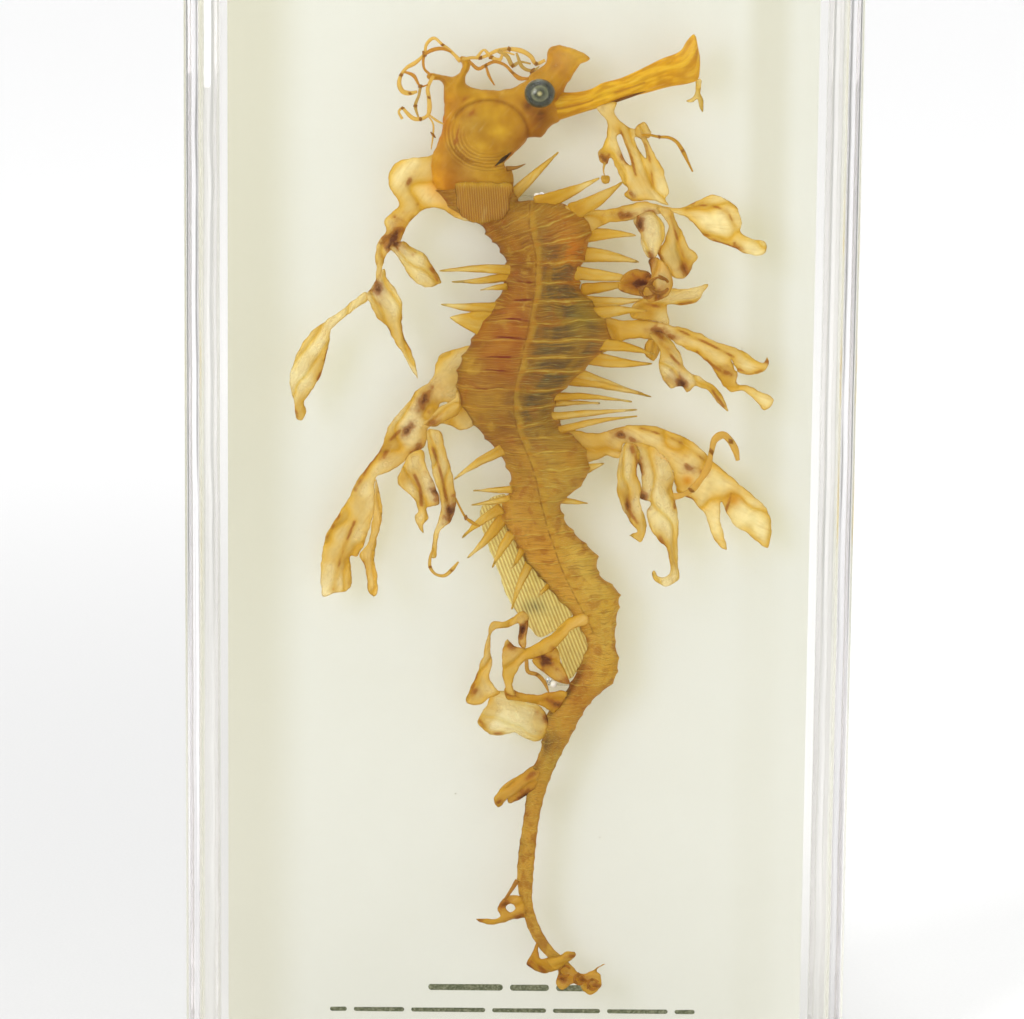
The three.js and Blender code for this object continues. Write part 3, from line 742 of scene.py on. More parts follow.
def build_jar(level):
    """The moulded glass vessel: polished outer faces, a heavy foot, and slightly wavy inner corners."""
    half_x, half_y, top = JAR_HIGH
    inner_x, inner_y = FLUID_HIGH[:2] + FILM_GAP
    floor = FLUID_LOW[2] - FILM_GAP
    foot, arris, fillet = 2.0, 0.6, FLOOR_FILLET
    profile = edge_arc(foot, foot, foot, -90, 0, 5)
    profile = [(foot + GUARD, 0.0)] + profile + [(0.0, foot + GUARD)]
    profile += [(0.0, z) for z in np.arange(12.0, top - 4, 6.0)]
    profile += [(0.0, top - arris - GUARD)] + edge_arc(arris, top - arris, arris, 0, 90)
    profile.append((arris + GUARD, top))
    rings = [rounded_ring(half_x - i, half_y - i, max(OUTER_CORNER - i, 1), z) for i, z in profile]
    inside_profile = [(arris + GUARD, top)] + edge_arc(arris, top - arris, arris, 90, 0)
    inside_profile.append((0.0, top - arris - GUARD))
    heights = np.concatenate([np.arange(top - 4, level + 2, -3.0), [level],
                              np.arange(level - 2, floor + 8, -3.0)])
    inside_profile += [(0.0, z) for z in heights]
    inside_profile += [(0.0, floor + fillet + GUARD)]
    inside_profile += [(fillet * (1 - math.cos(t)), floor + fillet * (1 - math.sin(t)))
                       for t in np.radians(np.linspace(0, 90, 6))]
    inside_profile.append((fillet + GUARD, floor))
    for outset, z in inside_profile:
        sign = -1 if z > floor + fillet else 1
        offset = sign * outset
        corner = max(INNER_CORNER - offset, 1)
        ring = rounded_ring(inner_x - offset, inner_y - offset, corner, z)
        corner_share = np.exp(-(np.hypot(np.abs(ring[:, 0]) - inner_x, np.abs(ring[:, 1]) - inner_y)
                                / 5.0) ** 2)
        calm = min(1, max(0, (top - z) / 20)) * min(1, max(0, (z - floor) / 12))
        wave = np.array([noise.noise(Vector((x / 60, y / 60, z / 17))) for x, y, z in ring])
        ring[:, 0] += np.sign(ring[:, 0]) * INNER_WAVE * wave * corner_share * calm
        rings.append(ring)
    points, faces = rings_mesh(rings, first_cap=True, last_cap=True)
    jar = make_mesh("jar_glass_body", points, faces, [
        clear_material("glass_in_air", AIR_TO_GLASS, ripple=0.02),
        clear_material("glass_in_fluid", FLUID_TO_GLASS),
    ], "jar")
    centres = np.array([p.center for p in jar.data.polygons]) / MM
    wetted = (centres[:, 2] < level) & (centres[:, 2] > floor - 0.1)
    wetted &= (np.abs(centres[:, 0]) < inner_x + 1.2) & (np.abs(centres[:, 1]) < inner_y + 1.2)
    jar.data.polygons.foreach_set("material_index", wetted.astype(int))
    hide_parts("jar_body")


def build_fluid(level):
    """The fluid: a level surface that creeps up the glass at its rim, over a faintly tinted body."""
    inner_x, inner_y = FLUID_HIGH[:2] + FILM_GAP - 0.04
    floor = FLUID_LOW[2] - FILM_GAP + 0.04
    corner, fillet, climb, reach = INNER_CORNER, FLOOR_FILLET, 1.5, 2.2
    rings = []
    for turn in np.radians(np.linspace(0, 90, 5)):
        inset = fillet * (1 - math.sin(turn))
        rings.append(rounded_ring(inner_x - inset, inner_y - inset, corner - inset, floor + fillet
                                  * (1 - math.cos(turn))))
    rings += [rounded_ring(inner_x, inner_y, corner, z) for z in np.linspace(floor + 12, level - 2, 8)]
    for share in np.linspace(0, 1, 10):
        inset = 0.05 + 7.0 * share ** 1.6
        height = level + climb * math.exp(-inset / reach * 1.6)
        rings.append(rounded_ring(inner_x - inset, inner_y - inset, max(corner - inset, 0.8), height))
    points, faces = rings_mesh(rings, first_cap=True, last_cap=True)
    fluid = make_mesh("fluid_volume", points, faces, [
        fluid_body_material(),
        clear_material("fluid_surface", AIR_TO_FLUID, (1, 1, 0.995)),
    ], "jar")
    centres = np.array([p.center for p in fluid.data.polygons]) / MM
    fluid.data.polygons.foreach_set("material_index", (centres[:, 2] > level - 1.0).astype(int))
    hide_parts("preserving_fluid")


def build_lid():
    """The ground and polished cover glass with its filling hole."""
    half_x, half_y, top = LID_HIGH
    bottom = LID_LOW[2]
    corner, arris, hole = 11.0, 0.5, LID_HOLE
    section = [(arris + GUARD, bottom)] + edge_arc(arris, bottom + arris, arris, -90, 0, 3)
    section += [(0.0, bottom + arris + GUARD), (0.0, top - arris - GUARD)]
    section += edge_arc(arris, top - arris, arris, 0, 90, 3) + [(arris + GUARD, top)]
    rings = [rounded_ring(half_x - i, half_y - i, corner - i, z) for i, z in section]
    angle = np.arctan2(rings[0][:, 1], rings[0][:, 0])
    bore = [(hole + arris + GUARD, top)] + [(hole + i, z)
                                            for i, z in edge_arc(arris, top - arris, arris, 90, 0, 3)]
    bore += [(hole + i, z) for i, z in edge_arc(arris, bottom + arris, arris, 0, -90, 3)]
    bore.append((hole + arris + GUARD, bottom))
    rings += [np.column_stack([r * np.cos(angle), r * np.sin(angle), np.full(len(angle), z)])
              for r, z in bore]
    points, faces = rings_mesh(rings, closed=True)
    lid = make_mesh("lid_glass", points, faces, clear_material("lid_glass_clear", AIR_TO_GLASS,
                                                               ripple=0.02), "lid")
    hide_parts("lid_plate")


def build_plug():
    """The stopper of the filling hole: a ground stem under a polished button head."""
    head, top = PLUG_HIGH[0], PLUG_HIGH[2]
    seat, bottom = LID_HIGH[2], PLUG_LOW[2]
    stem, arris, turns = STEM_RADIUS, 0.75, 64
    profile = [(0.01, bottom), (stem - 0.9, bottom), (stem - 0.35, bottom + 0.15), (stem - 0.1, bottom + 0.6)]
    profile += [(stem, z) for z in np.linspace(bottom + 1.2, seat - 0.2, 5)]
    profile += [(stem + 0.2, seat + 0.02), (head - 0.5, seat + 0.02), (head - 0.12, seat + 0.15),
                (head, seat + 0.5)]
    profile += [(head - i, z) for i, z in edge_arc(arris, top - arris, arris, 0, 90, 6)]
    profile += [(head * share, top) for share in (0.8, 0.5, 0.25, 0.01)]
    angle = np.linspace(0, 2 * math.pi, turns, endpoint=False)
    rings = [np.column_stack([r * np.cos(angle), r * np.sin(angle), np.full(turns, z)]) for r, z in profile]
    points, faces = rings_mesh(rings, first_cap=True, last_cap=True)
    clear = clear_material("plug_glass_clear", AIR_TO_GLASS)
    plug = make_mesh("plug_glass", points, faces, [clear, frosted_material()], "plug")
    centres = np.array([p.center for p in plug.data.polygons]) / MM
    plug.data.polygons.foreach_set("material_index", (centres[:, 2] < seat - 0.1).astype(int))
    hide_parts("filler_plug")


def dress_cad_node(node, material, bevel=0.0):
    """Gives a carried-over CAD node its finish, with softened edges."""
    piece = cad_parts[node]
    piece.data.materials.clear()
    piece.data.materials.append(material)
    if bevel:
        rounded = piece.modifiers.new("soft_edges", "BEVEL")
        rounded.width = bevel * MM
        rounded.segments = 3
        rounded.limit_method = "ANGLE"


def build_legend():
    """A caption with no lettering: two rows of plain printed bars along the foot of the plate."""
    rows = (
        (43.6, 1.9, (-25.0, 24.5), (21, 11, 12)),
        (36.8, 1.3, (-53.5, 52.5), (5, 15, 22, 16, 14, 18, 6)),
    )
    gap, front = 2.0, PLATE_FRONT - 0.03
    points, faces = [], []
    for middle, tall, (left, right), words in rows:
        share = (right - left - gap * (len(words) - 1)) / sum(words)
        for word in words:
            ends = left + word * share
            turns = np.radians(np.arange(-90, 271, 30))
            across = np.where(np.cos(turns) > 0, ends - tall / 2, left + tall / 2) + tall / 2 * np.cos(turns)
            start = len(points)
            points += [(x, front, middle + tall / 2 * math.sin(t)) for x, t in zip(across, turns)]
            faces.append(list(range(start, start + len(turns))))
            left = ends + gap
    legend = make_mesh("printed_legend", points, faces, ink_material(), "mount", smooth=False)
    solid = legend.modifiers.new("ink_body", "SOLIDIFY")
    solid.thickness = 0.03 * MM


def build_ties():
    """The nylon stitches that hold the animal to the plate, each with a white bead at its front."""
    nylon, glass = thread_material(), bead_material()
    for side, (low, high) in zip(("upper", "lower"), BEADS):
        centre = (low + high) / 2
        radius = (high[2] - low[2]) / 2
        half = (high[0] - low[0]) / 2
        turns = np.linspace(0, 2 * math.pi, 28, endpoint=False)
        profile = [(radius * (0.52 + 0.48 * math.sin(t)), -half * math.cos(t))
                   for t in np.linspace(0.15, 3.0, 14)]
        rings = [np.column_stack([np.full(28, x), r * np.cos(turns), r * np.sin(turns)]) + centre
                 for r, x in profile]
        points, faces = rings_mesh(rings, closed=True)
        bead = make_mesh(side + "_white_bead", points, faces, glass, "mount")
        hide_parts(side + "_tie_bead")
        dress_cad_node(side + "_tie_thread", nylon)

# ---------------------------------------------------------------- the animal

BODY_DEPTH = 16.0
TRUNK_HALF_LIMIT = 8.6

# Left and right edges of the body (x, z, x, z), from the nape to the tip of the tail.
TRUNK = [
    (-24, 275, -3, 277.5), (-19, 269.5, -1.5, 272.5), (-11.5, 265.5, 2, 272.5), (-9, 262, 10.5, 272),
    (-6.5, 259.5, 19, 266.5), (-4.5, 256, 18.5, 260), (-4, 253.5, 16.5, 253.5), (-5, 248.5, 16.5, 248),
    (-7, 243.5, 20, 244), (-11.5, 237.5, 24, 238.5), (-13.5, 233, 25, 233.5), (-16, 228.5, 22, 229.5),
    (-17.5, 223, 15.5, 223), (-17, 217.5, 10.5, 217.5), (-14.5, 212, 9.5, 213), (-10.5, 206.5, 12.5, 208),
    (-7.5, 203, 17, 204), (-4.5, 199, 19, 199.5), (-2.5, 195, 19, 195), (-2.5, 190.5, 15, 190),
    (-5, 186.5, 12, 187), (-4, 180.5, 13, 182), (-0.5, 175, 17.5, 176.5), (2.5, 170, 22, 172),
    (6.5, 165.5, 22.5, 167), (10.5, 160.5, 28, 162), (15.5, 155, 28.5, 158), (18.5, 150, 27.5, 151.5),
    (20, 146.5, 27.5, 146.5), (18.5, 142, 28.5, 141.5), (15.5, 135.5, 27, 135.5), (13, 131.5, 23, 132),
    (9, 127, 19, 127.5), (7.5, 120, 15.5, 120), (6.5, 115, 13, 115), (3.5, 107, 9.5, 107),
    (2.5, 98, 7, 98), (1, 86.5, 5.5, 85), (0.5, 77.5, 5, 77.5), (2, 70, 5, 70.5), (4, 63, 7.5, 63),
    (8, 56.5, 11, 57.5), (12.5, 52.5, 15, 54), (19, 47, 19.5, 49),
]

# The row of pores along the flank (x, z).
LATERAL = [
    (2.5, 266), (4.5, 257), (4.5, 253), (4, 246), (2, 234.5), (0.5, 227.5), (-1.5, 217.5), (0, 207.5),
    (2.5, 202), (5, 195), (6.5, 188), (9, 179), (10.5, 175), (13, 168), (17.5, 159), (22, 150), (22, 138),
]

SNOUT = [
    (7, 303.5, 5, 293.5), (12.5, 302.6, 11, 295.2), (18.5, 303.5, 17, 297.2), (22, 305.3, 21.5, 298.5),
    (27, 306.7, 28.5, 301), (32.5, 309.2, 35.5, 303), (38.5, 312.2, 41, 304.5), (43.5, 314.4, 46, 305.4),
    (45.3, 317.2, 48.6, 306.6), (47, 319, 49.1, 309.5), (47.8, 318.4, 49, 313),
]

HEAD_DEPTH = 16.5
SNOUT_DEPTH = 15.5

HEAD = [
    (-25, 277.5), (-25.5, 283.5), (-24, 287.5), (-22.5, 292.5), (-22, 299), (-22, 303), (-23, 305.5),
    (-26.5, 306), (-26.5, 307.5), (-22, 307), (-20, 306.5), (-18, 307.5), (-17, 309.5), (-17.5, 312),
    (-15, 311.5), (-15, 309), (-16, 307), (-16, 304.5), (-13.5, 303.5), (-9.5, 303), (-3.5, 303.5),
    (-0.5, 305), (1.5, 307), (3.5, 308.5), (5.5, 310), (6.5, 312), (7, 314.5), (9, 315.5), (13, 315),
    (18.5, 312), (15.5, 310), (13.5, 307), (11.5, 303.5), (10.5, 295), (7.5, 293), (5, 290), (1.5, 290),
    (0, 287.5), (-2.5, 285.5), (-5, 282.5), (-3, 280.5), (-2.5, 276.5), (-3, 271), (-9, 267),
    (-16, 268.5), (-21.5, 272.5),
]

# Spines as root x, z, tip x, z and root half-width, first on the belly side, then on the back.
SPINES = [
    (-3.5, 273, 10, 286, 1.3), (4, 271.5, 21.5, 279, 1.7), (14, 269.5, 28, 278, 1.9),
    (17, 262.5, 32, 263, 1.5), (16, 257.5, 33, 255.5, 1.7), (14, 252.5, 34.5, 250.5, 1.5),
    (17, 247.5, 33.5, 249.5, 1.3), (17, 244, 35, 245, 1.4), (19, 240.5, 35.5, 242, 1.5),
    (19, 232.5, 38, 229.5, 1.5), (18, 229, 37, 227, 1.6), (11, 225.5, 35, 218.2, 1.7),
    (8, 222, 37, 217.5, 1.1), (7, 217.3, 31.5, 216.2, 0.9), (6.5, 215, 22.5, 215.6, 0.8),
    (7, 211.5, 33, 214, 0.95), (10, 207.5, 33, 212.2, 0.9), (15, 196, 24, 198.5, 1.4),
    (11, 188, 19.5, 187, 0.8), (-2, 253, -23, 252.6, 1.1), (-3, 251.3, -19.5, 249.5, 1.0),
    (-4, 248.5, -11.5, 247.4, 0.7), (-4, 242, -22.5, 243.2, 1.5), (-7, 237, -20, 239.5, 3.1),
    (-4.5, 202.5, -18.5, 193.8, 1.2), (-2, 191, -13, 190.6, 0.8), (-2.5, 188.6, -13.5, 186.5, 0.8),
    (-4, 183.5, -14.5, 171, 1.35), (-5, 185.5, -16, 177, 1.2), (-2, 178.5, -7.4, 168.6, 1.1),
    (1, 174, -2.2, 168.2, 0.7), (3.5, 170.5, -1.8, 156.6, 1.0), (9, 164, 5.3, 160, 0.6),
]


def loft(sections, count, sides, depth, ratio, limit, flare=1.0):
    """A closed body over elliptical sections: points, faces, and each point's section, angle and width."""
    rings, even = fit_rings(sections, count)
    turns = np.linspace(0, 2 * math.pi, sides, endpoint=False)
    middle = (rings[:, :2] + rings[:, 2:]) / 2
    half = (rings[:, 2:] - rings[:, :2]) / 2
    width = np.linalg.norm(half, axis=1)
    deep = np.minimum(width * ratio, limit)
    rounded = np.sign(np.sin(turns)) * np.abs(np.sin(turns)) ** flare
    x = middle[:, :1] + half[:, :1] * np.cos(turns)
    z = middle[:, 1:] + half[:, 1:] * np.cos(turns)
    y = depth + deep[:, None] * rounded
    points = np.stack([x, y, z], 2).reshape(-1, 3)
    faces = grid_faces(count, sides).tolist()
    faces.append(list(range(sides))[::-1])
    faces.append(list(range((count - 1) * sides, count * sides)))
    return points, faces, np.repeat(even, sides), np.tile(turns, count), np.repeat(width, sides)


def wrinkled(points, angle, lift):
    """Pushes points out from a lofted body's axis by lift."""
    out = np.column_stack([np.cos(angle) * 0.6, np.sin(angle), np.zeros(len(angle))])
    return points + out * lift[:, None]


def build_trunk():
    """The armoured body and tail, drawn as one loft with a bony ring every few millimetres."""
    count, sides = 620, 72
    points, faces, along, angle, width = loft(TRUNK, count, sides, BODY_DEPTH, 0.6, TRUNK_HALF_LIMIT, 0.85)
    across = np.cos(angle)
    spacing = np.interp(along, [0, 110, 150, 230, 300], [5.6, 5.2, 4.3, 3.6, 3.0])
    step = np.gradient(along[::sides])
    turn = np.repeat(np.cumsum(step / spacing[::sides]), sides)
    phase = turn % 1
    gap = np.minimum(phase, 1 - phase)
    seam_lift = np.exp(-(gap / 0.08) ** 2)
    row = smooth_curve(LATERAL, 1.0)
    lateral_x = np.interp(points[:, 2], row[::-1, 1], row[::-1, 0])
    lateral = points[:, 0] - lateral_x
    on_row = np.exp(-(lateral / 1.3) ** 2)
    coarse = fractal(points, 14.0, 5, 3)
    lumps = fractal(points, 3.2, 8, 2)
    flank = np.abs(np.sin(angle)) ** 0.5
    lift = 0.32 * seam_lift * np.minimum(width / 8, 1) + 0.3 * lumps * flank + 0.5 * coarse
    lift += 0.3 * on_row * (points[:, 2] > 150) * (1 + coarse)
    keel = np.exp(-((np.abs(across) - 0.72) / 0.1) ** 2) * np.exp(-(gap / 0.2) ** 2)
    lift += 0.45 * keel
    knobs = np.exp(-((np.abs(across) - 1) / 0.06) ** 2) * np.exp(-(gap / 0.2) ** 2)
    points = wrinkled(points, angle, lift * np.minimum(width / 4, 1))
    points[:, 0] += 0.55 * knobs * np.sign(across) * np.clip(width / 9, 0.2, 1)
    thin = np.clip((along - 82) / 36, 0, 1)
    front = points[:, 1] < BODY_DEPTH
    backward, belly = srgb(156, 98, 38), srgb(166, 122, 60)
    share = 1 / (1 + np.exp(-(lateral - 0.5) / 1.4))
    tint = toward(backward, share, belly)
    tail_back, tail_belly = srgb(216, 162, 104), srgb(228, 188, 134)
    tail = toward(tail_back, share, tail_belly)
    tint = toward(tint, thin, tail)
    deep_tail = np.clip((along - 190) / 60, 0, 1)
    tint = tint + deep_tail[:, None] * (srgb(232, 186, 132) - tint) * 0.8
    rim = np.exp(-((1 - np.abs(across)) / 0.16) ** 2)
    tint = toward(tint, 0.45 * rim * (across > 0), srgb(206, 140, 70))
    tint = blobs_of_colour(points, tint, [
        (11, 265, 5, srgb(196, 128, 70), 0.8), (14, 259, 4.5, srgb(222, 128, 30), 0.9),
        (15, 252, 4, srgb(210, 116, 36), 0.8), (-2, 236, 7, srgb(176, 98, 46), 0.7),
        (-5, 228, 6, srgb(172, 98, 46), 0.7), (22, 232, 5, srgb(186, 120, 76), 0.7),
        (-10, 215, 6, srgb(196, 146, 72), 0.8), (-15, 227, 3, srgb(206, 160, 84), 0.6),
        (8, 175, 7, srgb(206, 142, 62), 0.6), (26, 158, 4, srgb(218, 168, 80), 0.7),
        (27, 140, 4, srgb(218, 160, 66), 0.7), (20, 130, 6, srgb(206, 136, 50), 0.6),
        (9, 118, 4, srgb(140, 104, 88), 0.8), (11, 112, 3, srgb(206, 178, 128), 0.7),
        (17, 240, 5, srgb(168, 146, 84), 0.5), (0, 268, 5, srgb(186, 142, 84), 0.6),
        (6, 262, 4, srgb(150, 108, 82), 0.6), (-3, 252, 4, srgb(160, 104, 74), 0.6),
        (-8, 242, 4, srgb(152, 96, 60), 0.6), (0, 196, 6, srgb(176, 132, 72), 0.6),
        (6, 186, 5, srgb(188, 142, 76), 0.6), (15, 200, 6, srgb(204, 150, 70), 0.5),
        (-16, 272, 6, srgb(186, 140, 84), 0.6),
    ])
    bruise = np.exp(-((points[:, 2] - 236) / 26) ** 4) * np.clip((lateral - 0.5) / 2, 0, 1)
    bruise *= np.clip((1 - across) / 0.22, 0, 1)
    lower = np.exp(-((points[:, 2] - 214) / 9) ** 2) * (0.55 - 0.45 * np.abs(across))
    bruise = np.clip(bruise + lower, 0, 1) * np.where(points[:, 2] > 262, 0.4, 1)
    dash = np.exp(-((points[:, 2] - 236) / 20) ** 4)
    seam = np.where(lateral > 0, 1.0, 0.45) * np.clip((300 - along) / 60, 0.3, 1)
    seam = np.maximum(seam, thin * 0.85)
    dark_edge = np.exp(-((across + 1) / 0.05) ** 2) * (points[:, 2] < 268) * (0.5 + coarse)
    strip = np.exp(-((across + 0.85) / 0.2) ** 2) * np.exp(-((points[:, 2] - 133) / 9) ** 4)
    groove = np.exp(-((across + 1) / 0.1) ** 2) * np.exp(-((points[:, 2] - 166) / 16) ** 4)
    down_tail = np.clip((123 - points[:, 2]) / 5, 0, 1) * np.clip((points[:, 2] - 74) / 34, 0, 1)
    tail_edge = np.exp(-((across + 1) / 0.6) ** 2) * down_tail * np.clip(1 + 2.5 * coarse, 0.2, 1)
    dark = np.clip(dark_edge * 0.9 + strip + groove + tail_edge, 0, 1)
    tint = toward(tint, 0.85 * dark, srgb(78, 44, 20))
    film = np.clip(0.35 * (1 - width / 12), 0, 0.3) * front
    attributes = {"tint": np.clip(tint, 0, 1), "ring": turn, "across": across, "stain": bruise, "dash": dash,
                  "seam": seam, "lateral": np.where(points[:, 2] > 150, lateral, 9.0), "film": film}
    trunk = make_mesh("seadragon_trunk", points, faces, trunk_material(), "mount", attributes)
    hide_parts("specimen")


def ripened(tint):
    """Deepens a tint the way years in spirit do: less blue, and darker where it is dark."""
    return 0.93 * np.clip(tint, 0, 1) ** (1.12, 1.2, 1.5)


def build_head(flesh_look):
    """The head with its gill cover, rayed pectoral block, horn, snout and lip barbel."""
    head = Tissue()

    disc_x, disc_z, disc = -9.4, 291.2, 10.2

    def disc_radius(flat):
        return np.hypot((flat[:, 0] - disc_x) / 1.02, (flat[:, 1] - disc_z) / 0.86)

    def growth(flat):
        """Growth lines of the gill cover, strongest low down and at the back."""
        radius = disc_radius(flat)
        low = np.clip((disc_z - flat[:, 1] - 0.45 * (flat[:, 0] - disc_x)) / 7, 0, 1)
        waves = np.cos(2 * math.pi * (radius + 0.25 * fractal(np.column_stack([flat, flat[:, :1]]), 5, 2))
                       / 1.05)
        return waves * low * np.clip((radius - 5.5) / 2, 0, 1) * np.clip((13.2 - radius) / 1.5, 0, 1)

    def skull(flat, gap):
        radius = disc_radius(flat)
        cover = 1.5 * np.clip(1 - (radius / disc) ** 2, 0, 1) - 0.55 * np.exp(-((radius - disc - 0.4)
                                                                                / 0.6) ** 2)
        cheek = 1.1 * np.exp(-((flat[:, 0] - 6) ** 2 + (flat[:, 1] - 299) ** 2) / 40)
        brow = 0.6 * np.exp(-((flat[:, 0] - 2) / 6) ** 2 - ((flat[:, 1] - 306) / 1.2) ** 2)
        nape = 0.9 * np.exp(-((flat[:, 0] + 22) / 2.0) ** 2) * (flat[:, 1] < 300)
        return (cover + cheek + brow + nape + 0.06 * growth(flat)) * np.clip(gap / 2, 0, 1)

    points, faces, gap, _ = sheet(HEAD, HEAD_DEPTH, 5.0, rim=6.5, step=0.42, ripple=0.5, seed=4, relief=skull)
    flat = points[:, [0, 2]]
    tint = blobs_of_colour(points, srgb(204, 158, 76), [
        (-22.5, 290, 4, srgb(210, 142, 48), 0.9), (-22, 299, 3.5, srgb(206, 140, 48), 0.8),
        (-21, 278, 6, srgb(222, 158, 66), 0.9), (-14, 302, 6, srgb(212, 170, 88), 0.7),
        (-9, 292, 7, srgb(200, 158, 76), 0.85), (-6, 293, 3, srgb(214, 170, 78), 0.8),
        (-14, 294, 4, srgb(182, 142, 84), 0.8), (2, 291, 5, srgb(170, 112, 50), 0.7),
        (8, 299, 5, srgb(192, 134, 44), 0.8), (10, 312, 5, srgb(222, 168, 66), 0.85),
        (16, 313, 4, srgb(236, 196, 104), 0.8), (-6, 281, 4.5, srgb(208, 162, 76), 0.8),
        (-17.5, 284, 4.5, srgb(176, 126, 78), 0.8), (4, 294, 3.5, srgb(146, 88, 42), 0.65),
        (-1, 286, 3, srgb(180, 124, 74), 0.6), (-12, 272, 6, srgb(178, 126, 78), 0.7),
        (12, 303, 3, srgb(176, 116, 40), 0.6), (-19, 299, 3, srgb(196, 142, 62), 0.6),
        (6, 306.5, 3, srgb(206, 160, 84), 0.5), (5, 296.5, 2.2, srgb(106, 62, 26), 0.75),
        (1.4, 299, 1.6, srgb(112, 66, 28), 0.8), (-10, 303.5, 5, srgb(206, 158, 66), 0.7),
        (-19, 288, 3, srgb(186, 146, 96), 0.8), (-15.5, 281, 4, srgb(190, 148, 98), 0.7),
        (-9, 280, 3, srgb(216, 172, 88), 0.7), (-22.8, 294, 2, srgb(206, 128, 40), 0.8),
    ])
    tint *= 1 + 0.3 * fractal(points, 4.0, 9, 4)[:, None] * (0.7, 1.0, 1.5)
    ringed = growth(flat) * (points[:, 1] < HEAD_DEPTH)
    tint = toward(tint, 0.55 * np.clip(ringed, 0, 1), srgb(226, 190, 120))
    tint = toward(tint, 0.5 * np.clip(-ringed, 0, 1), srgb(146, 102, 54))
    notch = np.exp(-((disc_radius(flat) - disc - 0.4) / 0.5) ** 2) * (flat[:, 0] > -19) * (flat[:, 1] > 283)
    tint = toward(tint, 0.6 * notch, srgb(140, 90, 42))
    horn = np.clip((points[:, 2] - 304) / 6, 0, 1) * np.clip((points[:, 0] - 2) / 3, 0, 1)
    cracks = stain_of(points, [(-14, 297, 0.6), (-18.5, 289, 0.5), (-16.4, 300.5, 0.5)], [
        (0.55, [(-3, 285.8), (-7.5, 282)]), (0.16, [(-17.6, 293.5), (-18.4, 290), (-19, 288)]),
        (0.25, [(1, 297), (5, 296), (9, 298)]), (0.2, [(8, 300.6), (12, 301.4), (19, 302.8)])])
    cracks *= points[:, 1] < HEAD_DEPTH
    head.add(points, faces, ripened(tint), cracks, 0.1 + 0.5 * horn * np.clip(gap / 2, 0.5, 1))

    pitch = 0.66
    block = [(-18.6, 277.2), (-15, 277.8), (-8, 277.7), (-3, 276.8), (-3.2, 274), (-3.6, 270), (-5, 267.6),
             (-8, 266.6), (-11, 266.2), (-14.5, 266.8), (-17, 268.2), (-18, 270.5), (-18.6, 274)]

    def rays(flat, gap):
        return 0.13 * np.cos(2 * math.pi * (flat[:, 0] + 0.08 * (flat[:, 1] - 270))
                             / pitch) * np.clip(gap / 0.8, 0, 1)

    points, faces, gap, _ = sheet(block, 10.3, 0.9, rim=3.0, step=0.24, ripple=0.25, seed=6, relief=rays,
                                  ragged=0.5)
    comb = 0.5 + 0.5 * np.cos(2 * math.pi * (points[:, 0] + 0.08 * (points[:, 2] - 270)) / pitch)
    low = np.clip((276 - points[:, 2]) / 9, 0, 1)[:, None]
    web = srgb(176, 124, 64) + low * (srgb(166, 108, 70) - srgb(176, 124, 64))
    tint = toward(web, comb, srgb(206, 166, 114))
    hem = np.exp(-((points[:, 2] - 277.2) / 0.8) ** 2) + 0.5 * np.exp(-((points[:, 2] - 266.4) / 0.9) ** 2)
    tint = toward(tint, 0.8 * np.clip(hem, 0, 1), srgb(222, 184, 102))
    head.add(points, faces, ripened(tint), 0.0, 0.15 + 0.5 * np.exp(-gap / 0.7),
             np.column_stack([points[:, 2], 0.4 * points[:, 0]]))

    points, faces, along, angle, _ = loft(SNOUT, 150, 72, SNOUT_DEPTH, 0.72, 4.2)
    points = wrinkled(points, angle, 0.22 * fractal(points, 5, 3, 3))
    ridge = np.exp(-((np.cos(angle) + 0.25) / 0.16) ** 2) * (points[:, 1] < SNOUT_DEPTH)
    points[:, 1] -= 0.5 * ridge
    tint = blobs_of_colour(points, srgb(214, 160, 58), [
        (30, 304, 8, srgb(218, 166, 66), 0.5), (47, 315, 4, srgb(196, 140, 112), 0.75),
        (46, 308, 3, srgb(212, 164, 108), 0.6), (12, 299, 5, srgb(196, 136, 44), 0.7),
        (23, 302, 3, srgb(226, 184, 84), 0.6), (38, 308, 4, srgb(206, 148, 52), 0.6),
    ])
    tint *= 1 + 0.22 * fractal(points, 3.0, 5, 4)[:, None] * (0.8, 1.0, 1.4)
    streak = fractal(np.column_stack([0.16 * along, 3.4 * np.cos(angle), 0 * along]), 1.0, 23, 3)
    tint = toward(tint, np.clip(1.3 * streak, 0, 0.45), srgb(176, 112, 36))
    tint = toward(tint, np.clip(-1.5 * streak, 0, 0.5), srgb(232, 190, 104))
    under = np.clip((np.cos(angle) - 0.6) / 0.4, 0, 1)
    tint = toward(tint, 0.4 * under, srgb(184, 116, 38))
    tint = toward(tint, 0.35 * ridge, srgb(232, 190, 96))
    crease = 0.7 * np.exp(-((np.cos(angle) - 0.12) / 0.07) ** 2) * (fractal(points, 6.0, 15)
                                                                    > -0.1) * (points[:, 0] < 34)
    head.add(points, faces, np.clip(tint, 0, 1) ** (1.05, 1.05, 1.5), 0.5 * crease, 0.12)
    tube(head, [(22, 14.6, 298.9), (26, 14.2, 300.4), (30, 14, 301.8), (34, 14.2, 303.2)],
         [0.2, 0.4, 0.35, 0.15], srgb(120, 70, 28))

    tube(head, [(-3.2, 11, 286), (-5.2, 10.9, 284.2), (-7.6, 11.1, 282.2)], [0.15, 0.6, 0.12],
         srgb(58, 36, 20), flat=0.7)
    tube(head, [(-4.4, 12, 281.4), (-1.6, 11.4, 281.8), (0.8, 11.2, 282.8)], [0.8, 0.45, 0.1],
         srgb(158, 108, 44))

